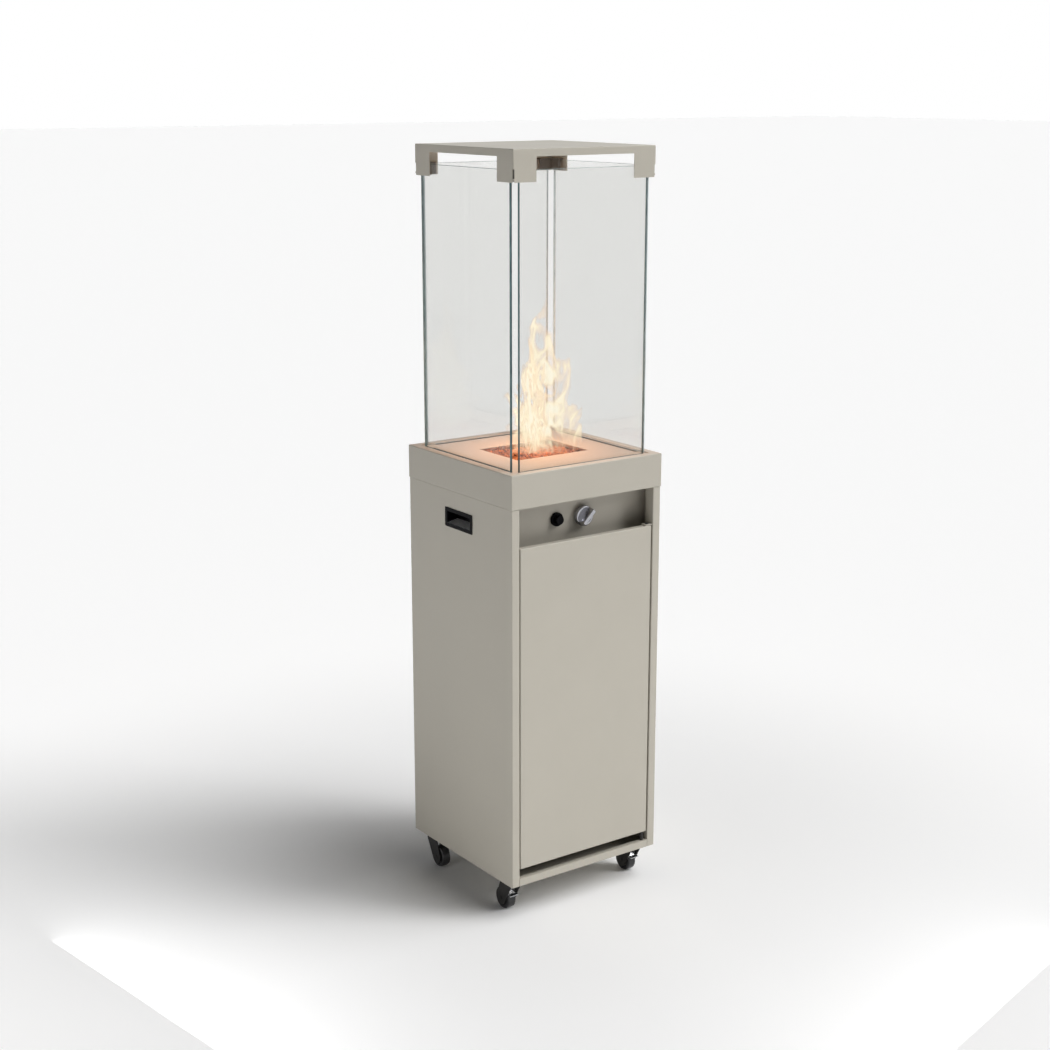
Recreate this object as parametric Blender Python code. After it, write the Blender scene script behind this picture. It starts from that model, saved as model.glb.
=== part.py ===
"""Gas patio heater: a square steel cabinet on casters, with a burner behind four glass panes.

Units are metres and +Z is up. The origin is on the floor, under the middle of the cabinet.
The front, with the door and the controls, faces -Y. Each sub-part is one closed solid.
"""
import bpy
import bmesh
from math import cos, pi, radians, sin
from mathutils import Matrix, Vector

# ---- driving dimensions ----------------------------------------------------------------
GAP = 0.0003                    # clearance between pieces that touch
SHEET = 0.0015                  # folded steel sheet

BODY_WIDTH = 0.3975             # cabinet, along X
BODY_DEPTH = 0.3975             # cabinet, along Y
BODY_HEIGHT = 0.8457            # cabinet panels, from underside to collar

COLLAR_STEP = 0.00125           # collar stands this far proud of the cabinet
COLLAR_HEIGHT = 0.074
COLLAR_RIM = 0.020              # width of the collar's top rim
COLLAR_FOOT = 0.018             # width of the flange that the collar stands on

STILE_WIDTH = 0.0198            # front face of each side panel
STILE_RETURN = 0.025            # stile's fold back into the cabinet
BACK_FLANGE = 0.020
RAIL_HEIGHT = 0.017             # front rail of the base pan
RAIL_LIP = 0.012
FLANGE_HEIGHT = 0.020
CYLINDER_HOLE = 0.060           # radius of the hole in the base pan

DOOR_HINGE_GAP = 0.0040         # beside the door, on its hinge side
DOOR_FREE_GAP = 0.0022          # beside the door, on its free side
DOOR_BOTTOM = 0.039             # above the cabinet underside
RECESS_HEIGHT = 0.0847          # open control recess between the door and the collar
DOOR_THICKNESS = 0.014
HINGE_INSET = 0.0075            # hinge axis, from the door's edge and from its front
HINGE_PIN_RADIUS = 0.0025
BRACKET_THICKNESS = 0.002
STIFFENER_WIDTH = 0.040         # crown of the hat-shaped stiffener inside the door
STIFFENER_FOOT = 0.015
STIFFENER_SHEET = 0.0012
CATCH_DROP = 0.045              # magnet and strike plate, below the door's top
CATCH_HEIGHT = 0.044
CATCH_DEPTH = 0.022
STRIKE_HEIGHT = 0.036
STRIKE_WIDTH = 0.016

RECESS_DEPTH = 0.052            # control panel, behind the door's face
PANEL_SKIRT = 0.024             # control panel reaches this far down behind the door
PANEL_SHELF = 0.030

CONTROL_DROP = 0.0490           # knob and button axes, below the collar
KNOB_X = 0.021
BUTTON_X = -0.047
KNOB_RADIUS = 0.0225
KNOB_SKIRT = 0.010
KNOB_GRIP_HEIGHT = 0.016
KNOB_GRIP_WIDTH = 0.013
KNOB_ANGLE = radians(45)        # grip bar, up from +X, at the lit setting
KNOB_TRAVEL = 0.004
SPINDLE_RADIUS = 0.003
VALVE_WIDTH = 0.032
VALVE_LENGTH = 0.040
VALVE_SETBACK = 0.0065          # valve body, behind the control panel's face
PIPE_RADIUS = 0.003
BUTTON_RADIUS = 0.0105
BUTTON_LENGTH = 0.016
BUTTON_TRAVEL = 0.005
BEZEL_RADIUS = 0.015
BEZEL_LENGTH = 0.007

HANDLE_LENGTH = 0.106
HANDLE_HEIGHT = 0.043
HANDLE_LIP = 0.007
HANDLE_DEPTH = 0.028
HANDLE_DROP = 0.060             # middle of the handle, below the collar
HANDLE_SLOPE = 0.006            # rise of the cup's floor towards its back
HANDLE_WALL = 0.0015

PANE_THICKNESS = 0.006
PANE_MARGIN = 0.001             # pane stands this far inside the collar's rim
PANE_HEIGHT = 0.616
PANE_CORNER_GAP = 0.008         # each pane stops this far short of its neighbours' inner face
SLOT_WIDTH = 0.013              # air slot under each pane
PANE_SEAT = 0.018               # length of each pane's end that stands on the deck

FRAME_STEP = 0.0035             # top frame stands this far outside the panes
FRAME_HEIGHT = 0.066
FRAME_BAND = 0.016              # solid band above the windows
FRAME_TAB = 0.057               # corner tab beside each window
FRAME_RISE = 0.0414             # frame's top, above the panes' top
CLAMP_LEG = 0.034
CLAMP_WALL = 0.0047
CLAMP_DEPTH = 0.0226            # clamp reaches this far down the panes
CLAMP_CAP = 0.0022

BURNER_LENGTH = 0.190           # opening in the deck, along X
BURNER_WIDTH = 0.148            # opening in the deck, along Y
TRAY_DEPTH = 0.048
TRAY_FLANGE = 0.010
BED_DROP = 0.0075               # pebbles' top, below the deck
BURNER_TUBE_RADIUS = 0.008
BURNER_TUBE_LENGTH = 0.150
VENTURI_RADIUS = 0.010
VENTURI_DROP = 0.032            # venturi reaches this far below the tray
SHIELD_DROP = 0.012
SHIELD_LENGTH = 0.250
SHIELD_WIDTH = 0.210
SHIELD_LIP = 0.010
PROBE_X = 0.055                 # thermocouple and electrode stand at this distance either side
PROBE_Y = 0.035
PROBE_RADIUS = 0.002
PROBE_SLEEVE = 0.0035

CASTER_INSET_X = 0.02875        # swivel axes, in from the cabinet's sides
CASTER_INSET_Y = 0.04475        # and from its front and back
CASTER_TRAIL = 0.022            # axle, from the swivel axis towards the middle of the heater
WHEEL_RADIUS = 0.025
CASTER_HEAD = 0.027             # swivel head and clearance above the wheel
WHEEL_WIDTH = 0.020
FORK_WIDTH = 0.028
FORK_WALL = 0.0025
CHEEK_RADIUS = 0.016
AXLE_RADIUS = 0.003
PLATE_SIZE = 0.048
PLATE_THICKNESS = 0.0025
RACE_RADIUS = 0.015
RACE_HEIGHT = 0.004
KING_PIN_RADIUS = 0.004
PEDAL_LENGTH = 0.009            # flat end of the brake pedal
PEDAL_THICKNESS = 0.002
PEDAL_GAP = 0.0026              # pedal to tread when the brake is off
PEDAL_PIVOT = (0.006, 0.014)    # pedal's pivot: behind the swivel axis, and below the crown

VENT_ROWS = 7
VENT_LENGTH = 0.110
VENT_HEIGHT = 0.005
VENT_PITCH = 0.018
VENT_X = 0.085                  # middle of each bank of vents
VENT_START = 0.55               # lowest vent, as a share of the cabinet's height
HOSE_HOLE_RADIUS = 0.014
HOSE_HOLE_HEIGHT = 0.10

ROUND = 32                      # sides of a large round piece
SMALL_ROUND = 16                # sides of a small round piece

# ---- levels and planes that several pieces share ----------------------------------------
HALF_X = BODY_WIDTH / 2
HALF_Y = BODY_DEPTH / 2
FLOOR_Z = 2 * WHEEL_RADIUS + CASTER_HEAD
BODY_TOP = FLOOR_Z + BODY_HEIGHT
COLLAR_Z = BODY_TOP + GAP
COLLAR_TOP = COLLAR_Z + COLLAR_HEIGHT
COLLAR_X = HALF_X + COLLAR_STEP
COLLAR_Y = HALF_Y + COLLAR_STEP
OPENING_X = HALF_X - STILE_WIDTH
DOOR_Z = FLOOR_Z + DOOR_BOTTOM
DOOR_TOP = BODY_TOP - RECESS_HEIGHT
DOOR_RIGHT = OPENING_X - DOOR_HINGE_GAP
DOOR_LEFT = -OPENING_X + DOOR_FREE_GAP
HINGE_X = DOOR_RIGHT - HINGE_INSET
HINGE_Y = -HALF_Y + HINGE_INSET
PANEL_Y = -HALF_Y + RECESS_DEPTH
CASTER_X = HALF_X - CASTER_INSET_X
CASTER_Y = HALF_Y - CASTER_INSET_Y
CONTROL_Z = COLLAR_Z - CONTROL_DROP
DECK_TOP = COLLAR_TOP - SHEET - GAP
RIM_X = COLLAR_X - COLLAR_RIM
RIM_Y = COLLAR_Y - COLLAR_RIM
PANE_X = RIM_X - PANE_MARGIN
PANE_Y = RIM_Y - PANE_MARGIN
PANE_END_X = PANE_X - PANE_THICKNESS - PANE_CORNER_GAP
PANE_END_Y = PANE_Y - PANE_THICKNESS - PANE_CORNER_GAP
PANE_Z = DECK_TOP + GAP
PANE_TOP = PANE_Z + PANE_HEIGHT
FRAME_TOP = PANE_TOP + FRAME_RISE
FRAME_Z = FRAME_TOP - FRAME_HEIGHT
FRAME_X = PANE_X + FRAME_STEP
FRAME_Y = PANE_Y + FRAME_STEP
TRAY_TOP = DECK_TOP - SHEET - GAP
TRAY_Z = TRAY_TOP - TRAY_DEPTH
TUBE_Z = TRAY_Z + SHEET + 0.003 + BURNER_TUBE_RADIUS
VENTURI_Z = TRAY_Z - VENTURI_DROP

TAUPE = ((0.478, 0.451, 0.396), 0.45, 0.0)
BLACK_PLASTIC = ((0.012, 0.012, 0.013), 0.40, 0.0)
BLACK_STEEL = ((0.020, 0.020, 0.021), 0.35, 0.6)
BLACK_TREAD = ((0.025, 0.025, 0.026), 0.55, 0.0)
CHROME = ((0.80, 0.80, 0.82), 0.12, 1.0)
ZINC = ((0.70, 0.71, 0.72), 0.30, 1.0)
STAINLESS = ((0.62, 0.60, 0.57), 0.25, 1.0)
BRASS = ((0.72, 0.53, 0.24), 0.30, 1.0)
GLASS = ((0.86, 0.90, 0.90), 0.04, 0.0)
LAVA = ((0.32, 0.10, 0.04), 0.90, 0.0)
CERAMIC = ((0.85, 0.84, 0.80), 0.35, 0.0)


# ---- building blocks ---------------------------------------------------------------------
def clear_scene():
    for old in list(bpy.data.objects):
        bpy.data.objects.remove(old, do_unlink=True)


def add_object(name, bm, finish=None, origin=(0, 0, 0), parent=None):
    """Turn a bmesh in the parent's frame into an object whose origin is at the given point."""
    bmesh.ops.remove_doubles(bm, verts=bm.verts, dist=1e-7)
    bmesh.ops.recalc_face_normals(bm, faces=bm.faces)
    mesh = bpy.data.meshes.new(name)
    bm.to_mesh(mesh)
    bm.free()
    mesh.transform(Matrix.Translation(-Vector(origin)))
    obj = bpy.data.objects.new(name, mesh)
    obj.location = origin
    obj.parent = parent
    bpy.context.collection.objects.link(obj)
    if finish is not None:
        colour, roughness, metallic = finish
        material = bpy.data.materials.new(name)
        material.use_nodes = True
        shader = material.node_tree.nodes["Principled BSDF"]
        shader.inputs["Base Color"].default_value = (*colour, 1.0)
        shader.inputs["Roughness"].default_value = roughness
        shader.inputs["Metallic"].default_value = metallic
        mesh.materials.append(material)
    return obj


def smooth(obj):
    obj.data.shade_smooth()
    obj.data.set_sharp_from_angle(angle=radians(35))
    return obj


def add_empty(name, location):
    empty = bpy.data.objects.new(name, None)
    empty.location = location
    bpy.context.collection.objects.link(empty)
    return empty


def add_box(bm, low, high):
    size = Vector(high) - Vector(low)
    middle = (Vector(high) + Vector(low)) / 2
    place = Matrix.Translation(middle) @ Matrix.Diagonal((*size, 1.0))
    bmesh.ops.create_cube(bm, size=1.0, matrix=place)


def box(low, high):
    bm = bmesh.new()
    add_box(bm, low, high)
    return bm


def prism(outline, axis, low, high):
    """Extrude a closed outline along an axis; the outline's pairs are the other two axes."""
    def place(point, level):
        point = list(point)
        point.insert("XYZ".index(axis), level)
        return point

    bm = bmesh.new()
    face = bm.faces.new([bm.verts.new(place(point, low)) for point in outline])
    grown = bmesh.ops.extrude_face_region(bm, geom=[face])["geom"]
    moved = [item for item in grown if isinstance(item, bmesh.types.BMVert)]
    bmesh.ops.translate(bm, verts=moved, vec=place((0, 0), high - low))
    return bm


def folded(path, thickness):
    """Outline of a folded sheet: the path is its outer face, and the sheet lies to its left."""
    points = [Vector(point) for point in path]
    inner = []
    for index, point in enumerate(points):
        before = points[index] - points[index - 1] if index > 0 else None
        after = points[index + 1] - point if index < len(points) - 1 else None
        sides = [Vector((-run.y, run.x)).normalized() for run in (before, after) if run]
        bisector = sum(sides, Vector((0, 0))).normalized()
        inner.append(point + bisector * (thickness / bisector.dot(sides[0])))
    return [tuple(point) for point in points + inner[::-1]]


def square_ring(profile, half_x, half_y):
    """Carry a closed (inset, height) profile round a rectangle, with mitred corners."""
    bm = bmesh.new()
    loops = []
    for inset, height in profile:
        x = half_x - inset
        y = half_y - inset
        corners = ((-x, -y), (x, -y), (x, y), (-x, y))
        loops.append([bm.verts.new((*corner, height)) for corner in corners])
    for index, loop in enumerate(loops):
        other = loops[(index + 1) % len(loops)]
        for side in range(4):
            ahead = (side + 1) % 4
            bm.faces.new((loop[side], loop[ahead], other[ahead], other[side]))
    return bm


def turned(profile, centre, axis="Z", sides=ROUND, closed=False):
    """Spin a (radius, height) profile about an axis through the centre."""
    bm = bmesh.new()
    verts = [bm.verts.new((radius, 0, height)) for radius, height in profile]
    pairs = list(zip(verts, verts[1:]))
    if closed:
        pairs.append((verts[-1], verts[0]))
    edges = [bm.edges.new(pair) for pair in pairs]
    bmesh.ops.spin(bm, geom=verts + edges, cent=(0, 0, 0), axis=(0, 0, 1),
                   angle=2 * pi, steps=sides, use_merge=True)
    bmesh.ops.remove_doubles(bm, verts=bm.verts, dist=1e-7)
    turn = {"Z": Matrix.Identity(4), "-Y": Matrix.Rotation(pi / 2, 4, "X"),
            "X": Matrix.Rotation(pi / 2, 4, "Y")}[axis]
    bmesh.ops.transform(bm, matrix=Matrix.Translation(centre) @ turn, verts=bm.verts)
    return bm


def rod(radius, low, high):
    """Closed profile of a plain round rod, for turned()."""
    return [(0, low), (radius, low), (radius, high), (0, high)]


def sleeve(inner, outer, low, high):
    """Closed profile of a tube, for turned(closed=True)."""
    return [(inner, low), (outer, low), (outer, high), (inner, high)]


def combine(obj, tool_bm, operation):
    """Add or cut another shape, given in the object's parent's frame."""
    tool = add_object(f"{obj.name}_{operation.lower()}_{len(obj.modifiers)}", tool_bm,
                      parent=obj.parent)
    tool.hide_render = True
    tool.display_type = "WIRE"
    boolean = obj.modifiers.new(operation.title(), "BOOLEAN")
    boolean.operation = operation
    boolean.solver = "EXACT"
    boolean.object = tool
    return obj


def cut(obj, tool_bm):
    return combine(obj, tool_bm, "DIFFERENCE")


def weld(obj, tool_bm):
    return combine(obj, tool_bm, "UNION")


def arc(centre, radius, start, end, steps):
    """Points on a circular arc, with angles in degrees."""
    turns = [radians(start + (end - start) * step / steps) for step in range(steps + 1)]
    return [(centre[0] + radius * cos(turn), centre[1] + radius * sin(turn)) for turn in turns]


# ---- cabinet -----------------------------------------------------------------------------
def base_pan():
    side = HALF_X - SHEET - GAP
    back = HALF_Y - 2 * SHEET - 2 * GAP
    front = -HALF_Y + SHEET + GAP
    notch_x = OPENING_X - GAP
    notch_y = -HALF_Y + STILE_RETURN + GAP
    plate = [(-notch_x, front), (notch_x, front), (notch_x, notch_y), (side, notch_y),
             (side, back), (-side, back), (-side, notch_y), (-notch_x, notch_y)]
    pan = add_object("base_pan", prism(plate, "Z", FLOOR_Z, FLOOR_Z + SHEET), TAUPE)
    overlap = SHEET / 2
    rail = folded([(-HALF_Y + RAIL_LIP, FLOOR_Z + RAIL_HEIGHT), (-HALF_Y, FLOOR_Z + RAIL_HEIGHT),
                   (-HALF_Y, FLOOR_Z), (front + RAIL_LIP, FLOOR_Z)], SHEET)
    weld(pan, prism(rail, "X", -notch_x, notch_x))
    flanges = bmesh.new()
    top = FLOOR_Z + FLANGE_HEIGHT
    for x in (-side, side - SHEET):
        add_box(flanges, (x, notch_y + 0.001, FLOOR_Z + overlap),
                (x + SHEET, back - 0.003, top))
    add_box(flanges, (-side + 0.003, back - SHEET, FLOOR_Z + overlap), (side - 0.003, back, top))
    weld(pan, flanges)
    cut(pan, turned(rod(CYLINDER_HOLE, -0.01, 0.01), (0, 0, FLOOR_Z), sides=24))
    return pan


def side_panel(name, side):
    """Side of the cabinet with its stile folded round the front; side is +1 at +X."""
    path = [(OPENING_X, -HALF_Y + STILE_RETURN), (OPENING_X, -HALF_Y), (HALF_X, -HALF_Y),
            (HALF_X, HALF_Y), (HALF_X - BACK_FLANGE, HALF_Y)]
    outline = folded(path, SHEET)
    outline = [(side * x, y) for x, y in outline]
    panel = add_object(name, prism(outline, "Z", FLOOR_Z, BODY_TOP), TAUPE)
    ends = sorted((side * (HALF_X - COLLAR_FOOT), side * (HALF_X - SHEET / 2)))
    weld(panel, box((ends[0], -HALF_Y + 0.002, BODY_TOP - SHEET),
                    (ends[1], HALF_Y - 0.002, BODY_TOP)))
    z = COLLAR_Z - HANDLE_DROP
    length = HANDLE_LENGTH / 2 - HANDLE_LIP + GAP
    height = HANDLE_HEIGHT / 2 - HANDLE_LIP + GAP
    ends = sorted((side * (HALF_X - 0.01), side * (HALF_X + 0.01)))
    cut(panel, box((ends[0], -length, z - height), (ends[1], length, z + height)))
    return panel


def back_panel():
    half = HALF_X - SHEET - GAP
    face = HALF_Y - SHEET - GAP
    panel = add_object("back_panel", box((-half, face - SHEET, FLOOR_Z + SHEET + GAP),
                                         (half, face, BODY_TOP - SHEET - GAP)), TAUPE)
    slots = bmesh.new()
    lowest = FLOOR_Z + VENT_START * BODY_HEIGHT
    for group_x in (-VENT_X, VENT_X):
        for row in range(VENT_ROWS):
            z = lowest + row * VENT_PITCH
            add_box(slots, (group_x - VENT_LENGTH / 2, face - 0.01, z),
                    (group_x + VENT_LENGTH / 2, face + 0.01, z + VENT_HEIGHT))
    cut(panel, slots)
    cut(panel, turned(rod(HOSE_HOLE_RADIUS, -0.01, 0.01), (0, face, FLOOR_Z + HOSE_HOLE_HEIGHT),
                      axis="-Y", sides=SMALL_ROUND))
    return panel


def control_panel():
    """Recessed panel with the knob and button holes, folded back at its top and bottom."""
    top = BODY_TOP - SHEET - GAP
    path = [(PANEL_Y + PANEL_SHELF, top), (PANEL_Y, top),
            (PANEL_Y, DOOR_TOP - PANEL_SKIRT), (PANEL_Y + PANEL_SHELF, DOOR_TOP - PANEL_SKIRT)]
    half = HALF_X - SHEET - GAP
    panel = add_object("control_panel", prism(folded(path, SHEET), "X", -half, half), TAUPE)
    cut(panel, turned(rod(SPINDLE_RADIUS + 0.0015, -0.01, 0.01), (KNOB_X, PANEL_Y, CONTROL_Z),
                      axis="-Y", sides=SMALL_ROUND))
    cut(panel, turned(rod(BUTTON_RADIUS + 0.0005, -0.01, 0.01), (BUTTON_X, PANEL_Y, CONTROL_Z),
                      axis="-Y", sides=24))
    return panel


def collar():
    profile = [(0, COLLAR_Z), (0, COLLAR_TOP), (COLLAR_RIM, COLLAR_TOP),
               (COLLAR_RIM, COLLAR_TOP - SHEET), (SHEET, COLLAR_TOP - SHEET),
               (SHEET, COLLAR_Z + SHEET), (COLLAR_FOOT, COLLAR_Z + SHEET), (COLLAR_FOOT, COLLAR_Z)]
    return add_object("collar", square_ring(profile, COLLAR_X, COLLAR_Y), TAUPE)


def deck_plate():
    """Deck round the burner, with an air slot under the middle of each pane."""
    x = COLLAR_X - SHEET - GAP
    y = COLLAR_Y - SHEET - GAP
    deck = add_object("deck_plate", box((-x, -y, DECK_TOP - SHEET), (x, y, DECK_TOP)), TAUPE)
    cutter = bmesh.new()
    low = DECK_TOP - 0.01
    high = DECK_TOP + 0.01
    add_box(cutter, (-BURNER_LENGTH / 2, -BURNER_WIDTH / 2, low),
            (BURNER_LENGTH / 2, BURNER_WIDTH / 2, high))
    slot_x = PANE_END_X - PANE_SEAT
    slot_y = PANE_END_Y - PANE_SEAT
    for side in (-1, 1):
        ends = sorted((side * RIM_X, side * (RIM_X - SLOT_WIDTH)))
        add_box(cutter, (ends[0], -slot_y, low), (ends[1], slot_y, high))
        ends = sorted((side * RIM_Y, side * (RIM_Y - SLOT_WIDTH)))
        add_box(cutter, (-slot_x, ends[0], low), (slot_x, ends[1], high))
    return cut(deck, cutter)


def handle_cup(name, side):
    """Flush pull handle: a moulded cup with a lip that lies on the panel."""
    z = COLLAR_Z - HANDLE_DROP
    face = HALF_X + GAP
    length = HANDLE_LENGTH / 2
    height = HANDLE_HEIGHT / 2
    inner_length = length - HANDLE_LIP
    inner_height = height - HANDLE_LIP

    def shell(x0, x1, half_y, low, high):
        ends = sorted((side * x0, side * x1))
        return box((ends[0], -half_y, z - low), (ends[1], half_y, z + high))

    cup = add_object(name, shell(face, face + COLLAR_STEP - GAP, length, height, height),
                     BLACK_PLASTIC)
    weld(cup, shell(face - HANDLE_DEPTH, face + 0.0003, inner_length, inner_height, inner_height))
    mouth = face + 0.01
    back = face - HANDLE_DEPTH + HANDLE_WALL
    floor = z - inner_height + HANDLE_WALL
    roof = z + inner_height - HANDLE_WALL
    hollow = [(side * back, floor + HANDLE_SLOPE), (side * face, floor), (side * mouth, floor),
              (side * mouth, roof), (side * back, roof)]
    cutter = bmesh.new()
    half_y = inner_length - HANDLE_WALL
    near = [cutter.verts.new((x, -half_y, height_z)) for x, height_z in hollow]
    far = [cutter.verts.new((x, half_y, height_z)) for x, height_z in hollow]
    cutter.faces.new(near)
    cutter.faces.new(far)
    for index in range(len(hollow)):
        ahead = (index + 1) % len(hollow)
        cutter.faces.new((near[index], near[ahead], far[ahead], far[index]))
    return cut(cup, cutter)


# ---- door ----------------------------------------------------------------------------------
def door(hinge):
    """Door pan, open at the back, with its stiffener and the strike for the magnet."""
    def at(x, y, z):
        return (x - HINGE_X, y - HINGE_Y, z)

    front = -HALF_Y
    back = front + DOOR_THICKNESS
    pan = add_object("door_panel", box(at(DOOR_LEFT, front, DOOR_Z), at(DOOR_RIGHT, back, DOOR_TOP)),
                     TAUPE, parent=hinge)
    cut(pan, box(at(DOOR_LEFT + SHEET, front + SHEET, DOOR_Z + SHEET),
                 at(DOOR_RIGHT - SHEET, back + 0.01, DOOR_TOP - SHEET)))
    cut(pan, turned(rod(HINGE_PIN_RADIUS + GAP, DOOR_Z - 0.01, DOOR_TOP + 0.01), (0, 0, 0),
                    sides=SMALL_ROUND))
    middle = (DOOR_LEFT + DOOR_RIGHT) / 2
    inside = front + SHEET + GAP
    crown = STIFFENER_WIDTH / 2
    foot = crown + STIFFENER_FOOT
    hat = folded([at(middle + foot, inside, 0)[:2], at(middle + crown, inside, 0)[:2],
                  at(middle + crown, back - 0.001, 0)[:2], at(middle - crown, back - 0.001, 0)[:2],
                  at(middle - crown, inside, 0)[:2], at(middle - foot, inside, 0)[:2]],
                 -STIFFENER_SHEET)
    add_object("door_stiffener", prism(hat, "Z", DOOR_Z + 0.020, DOOR_TOP - 0.020), TAUPE,
               parent=hinge)
    strike_x = DOOR_LEFT + SHEET + GAP
    strike_z = DOOR_TOP - CATCH_DROP
    half = STRIKE_HEIGHT / 2
    add_object("strike_plate", box(at(strike_x, inside, strike_z - half),
                                   at(strike_x + STRIKE_WIDTH, back - 0.001, strike_z + half)),
               ZINC, parent=hinge)


def magnet_catch():
    """Magnet on the left stile's return, facing the strike plate in the closed door."""
    x = -OPENING_X + SHEET + GAP
    y = -HALF_Y + DOOR_THICKNESS + 0.001
    z = DOOR_TOP - CATCH_DROP
    half = CATCH_HEIGHT / 2
    catch = add_object("magnet_catch", box((x - 0.001, y, z - half),
                                           (x + 0.018, y + CATCH_DEPTH, z + half)), BLACK_PLASTIC)
    return cut(catch, box((x - 0.002, y - 0.001, z - 0.03),
                          (x - SHEET + 0.0015, -HALF_Y + STILE_RETURN + GAP, z + 0.03)))


def hinge_parts():
    """Top bracket on the stile, and the two pins that the door turns on."""
    low = DOOR_TOP + 0.001
    high = low + BRACKET_THICKNESS
    edge = OPENING_X - GAP
    bracket = add_object("hinge_bracket", box((HINGE_X - 0.008, -HALF_Y + 0.0015, low),
                                              (edge, HINGE_Y + 0.009, high)), TAUPE)
    cut(bracket, turned(rod(HINGE_PIN_RADIUS + GAP, low - 0.01, high + 0.01),
                        (HINGE_X, HINGE_Y, 0), sides=SMALL_ROUND))
    top_pin = [(0, DOOR_TOP - 0.010), (HINGE_PIN_RADIUS, DOOR_TOP - 0.010),
               (HINGE_PIN_RADIUS, high + GAP), (HINGE_PIN_RADIUS + 0.0015, high + GAP),
               (HINGE_PIN_RADIUS + 0.0015, high + GAP + 0.0015), (0, high + GAP + 0.0015)]
    smooth(add_object("hinge_pin_top", turned(top_pin, (HINGE_X, HINGE_Y, 0), sides=SMALL_ROUND),
                      BLACK_STEEL, origin=(HINGE_X, HINGE_Y, DOOR_TOP)))
    rail = FLOOR_Z + RAIL_HEIGHT + GAP
    foot = DOOR_Z - 0.0005
    low_pin = [(0, rail), (HINGE_PIN_RADIUS + 0.002, rail), (HINGE_PIN_RADIUS + 0.002, foot),
               (HINGE_PIN_RADIUS, foot), (HINGE_PIN_RADIUS, DOOR_Z + 0.010), (0, DOOR_Z + 0.010)]
    smooth(add_object("hinge_pin_bottom", turned(low_pin, (HINGE_X, HINGE_Y, 0), sides=SMALL_ROUND),
                      BLACK_STEEL, origin=(HINGE_X, HINGE_Y, DOOR_Z)))


# ---- controls ------------------------------------------------------------------------------
def gas_control(axis_empty):
    """Knob and spindle turn together; the plunger behind them is pushed in to start the gas."""
    face = KNOB_TRAVEL + 0.001           # back of the knob, in front of the panel
    knob = add_object("gas_knob", turned(
        [(0, face), (KNOB_RADIUS - 0.001, face), (KNOB_RADIUS, face + 0.001),
         (KNOB_RADIUS - 0.0015, face + KNOB_SKIRT), (0, face + KNOB_SKIRT)],
        (0, 0, 0), axis="-Y"), CHROME, parent=axis_empty)
    half_length = KNOB_RADIUS - 0.0005
    half_width = KNOB_GRIP_WIDTH / 2
    corner = half_width * 0.35
    bar = [(half_length, -half_width + corner), (half_length, half_width - corner),
           (half_length - corner, half_width), (-half_length + corner, half_width),
           (-half_length, half_width - corner), (-half_length, -half_width + corner),
           (-half_length + corner, -half_width), (half_length - corner, -half_width)]
    turned_bar = [(x * cos(KNOB_ANGLE) - z * sin(KNOB_ANGLE),
                   x * sin(KNOB_ANGLE) + z * cos(KNOB_ANGLE)) for x, z in bar]
    grip = face + KNOB_SKIRT + KNOB_GRIP_HEIGHT
    weld(knob, prism(turned_bar, "Y", -grip, -face - 0.004))
    cut(knob, turned(rod(SPINDLE_RADIUS + GAP, 0, face + 0.014), (0, 0, 0), axis="-Y",
                     sides=SMALL_ROUND))
    smooth(knob)
    smooth(add_object("valve_spindle", turned(rod(SPINDLE_RADIUS, -0.030, face + 0.0137), (0, 0, 0),
                                              axis="-Y", sides=SMALL_ROUND),
                      BRASS, parent=axis_empty))
    smooth(add_object("valve_plunger", turned(
        sleeve(SPINDLE_RADIUS + GAP, 0.0065, -0.012, -0.0085), (0, 0, 0), axis="-Y",
        sides=SMALL_ROUND, closed=True), BRASS, parent=axis_empty))


def gas_valve():
    """Brass valve body behind the panel, bored for the spindle and its sprung plunger."""
    y = PANEL_Y + VALVE_SETBACK
    half = VALVE_WIDTH / 2
    valve = add_object("gas_valve", box((KNOB_X - half, y, CONTROL_Z - half),
                                        (KNOB_X + half, y + VALVE_LENGTH, CONTROL_Z + half)),
                       BRASS)
    cut(valve, turned(rod(0.0075, -0.022, 0.010), (KNOB_X, PANEL_Y, CONTROL_Z), axis="-Y",
                      sides=SMALL_ROUND))
    cut(valve, turned(rod(SPINDLE_RADIUS + GAP, -0.036, 0.010), (KNOB_X, PANEL_Y, CONTROL_Z),
                      axis="-Y", sides=SMALL_ROUND))
    return valve


def hose_nozzle():
    """Barbed inlet under the valve, where the hose from the cylinder goes on."""
    top = CONTROL_Z - VALVE_WIDTH / 2 - GAP
    profile = [(0, top), (0.0070, top), (0.0070, top - 0.008), (0.0042, top - 0.008)]
    for barb in range(3):
        z = top - 0.009 - barb * 0.006
        profile += [(0.0050, z), (0.0042, z - 0.005)]
    profile += [(0.0040, top - 0.028), (0, top - 0.028)]
    return smooth(add_object("hose_nozzle", turned(profile, (KNOB_X, PANEL_Y + 0.0265, 0),
                                                   sides=SMALL_ROUND), BRASS))


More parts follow.
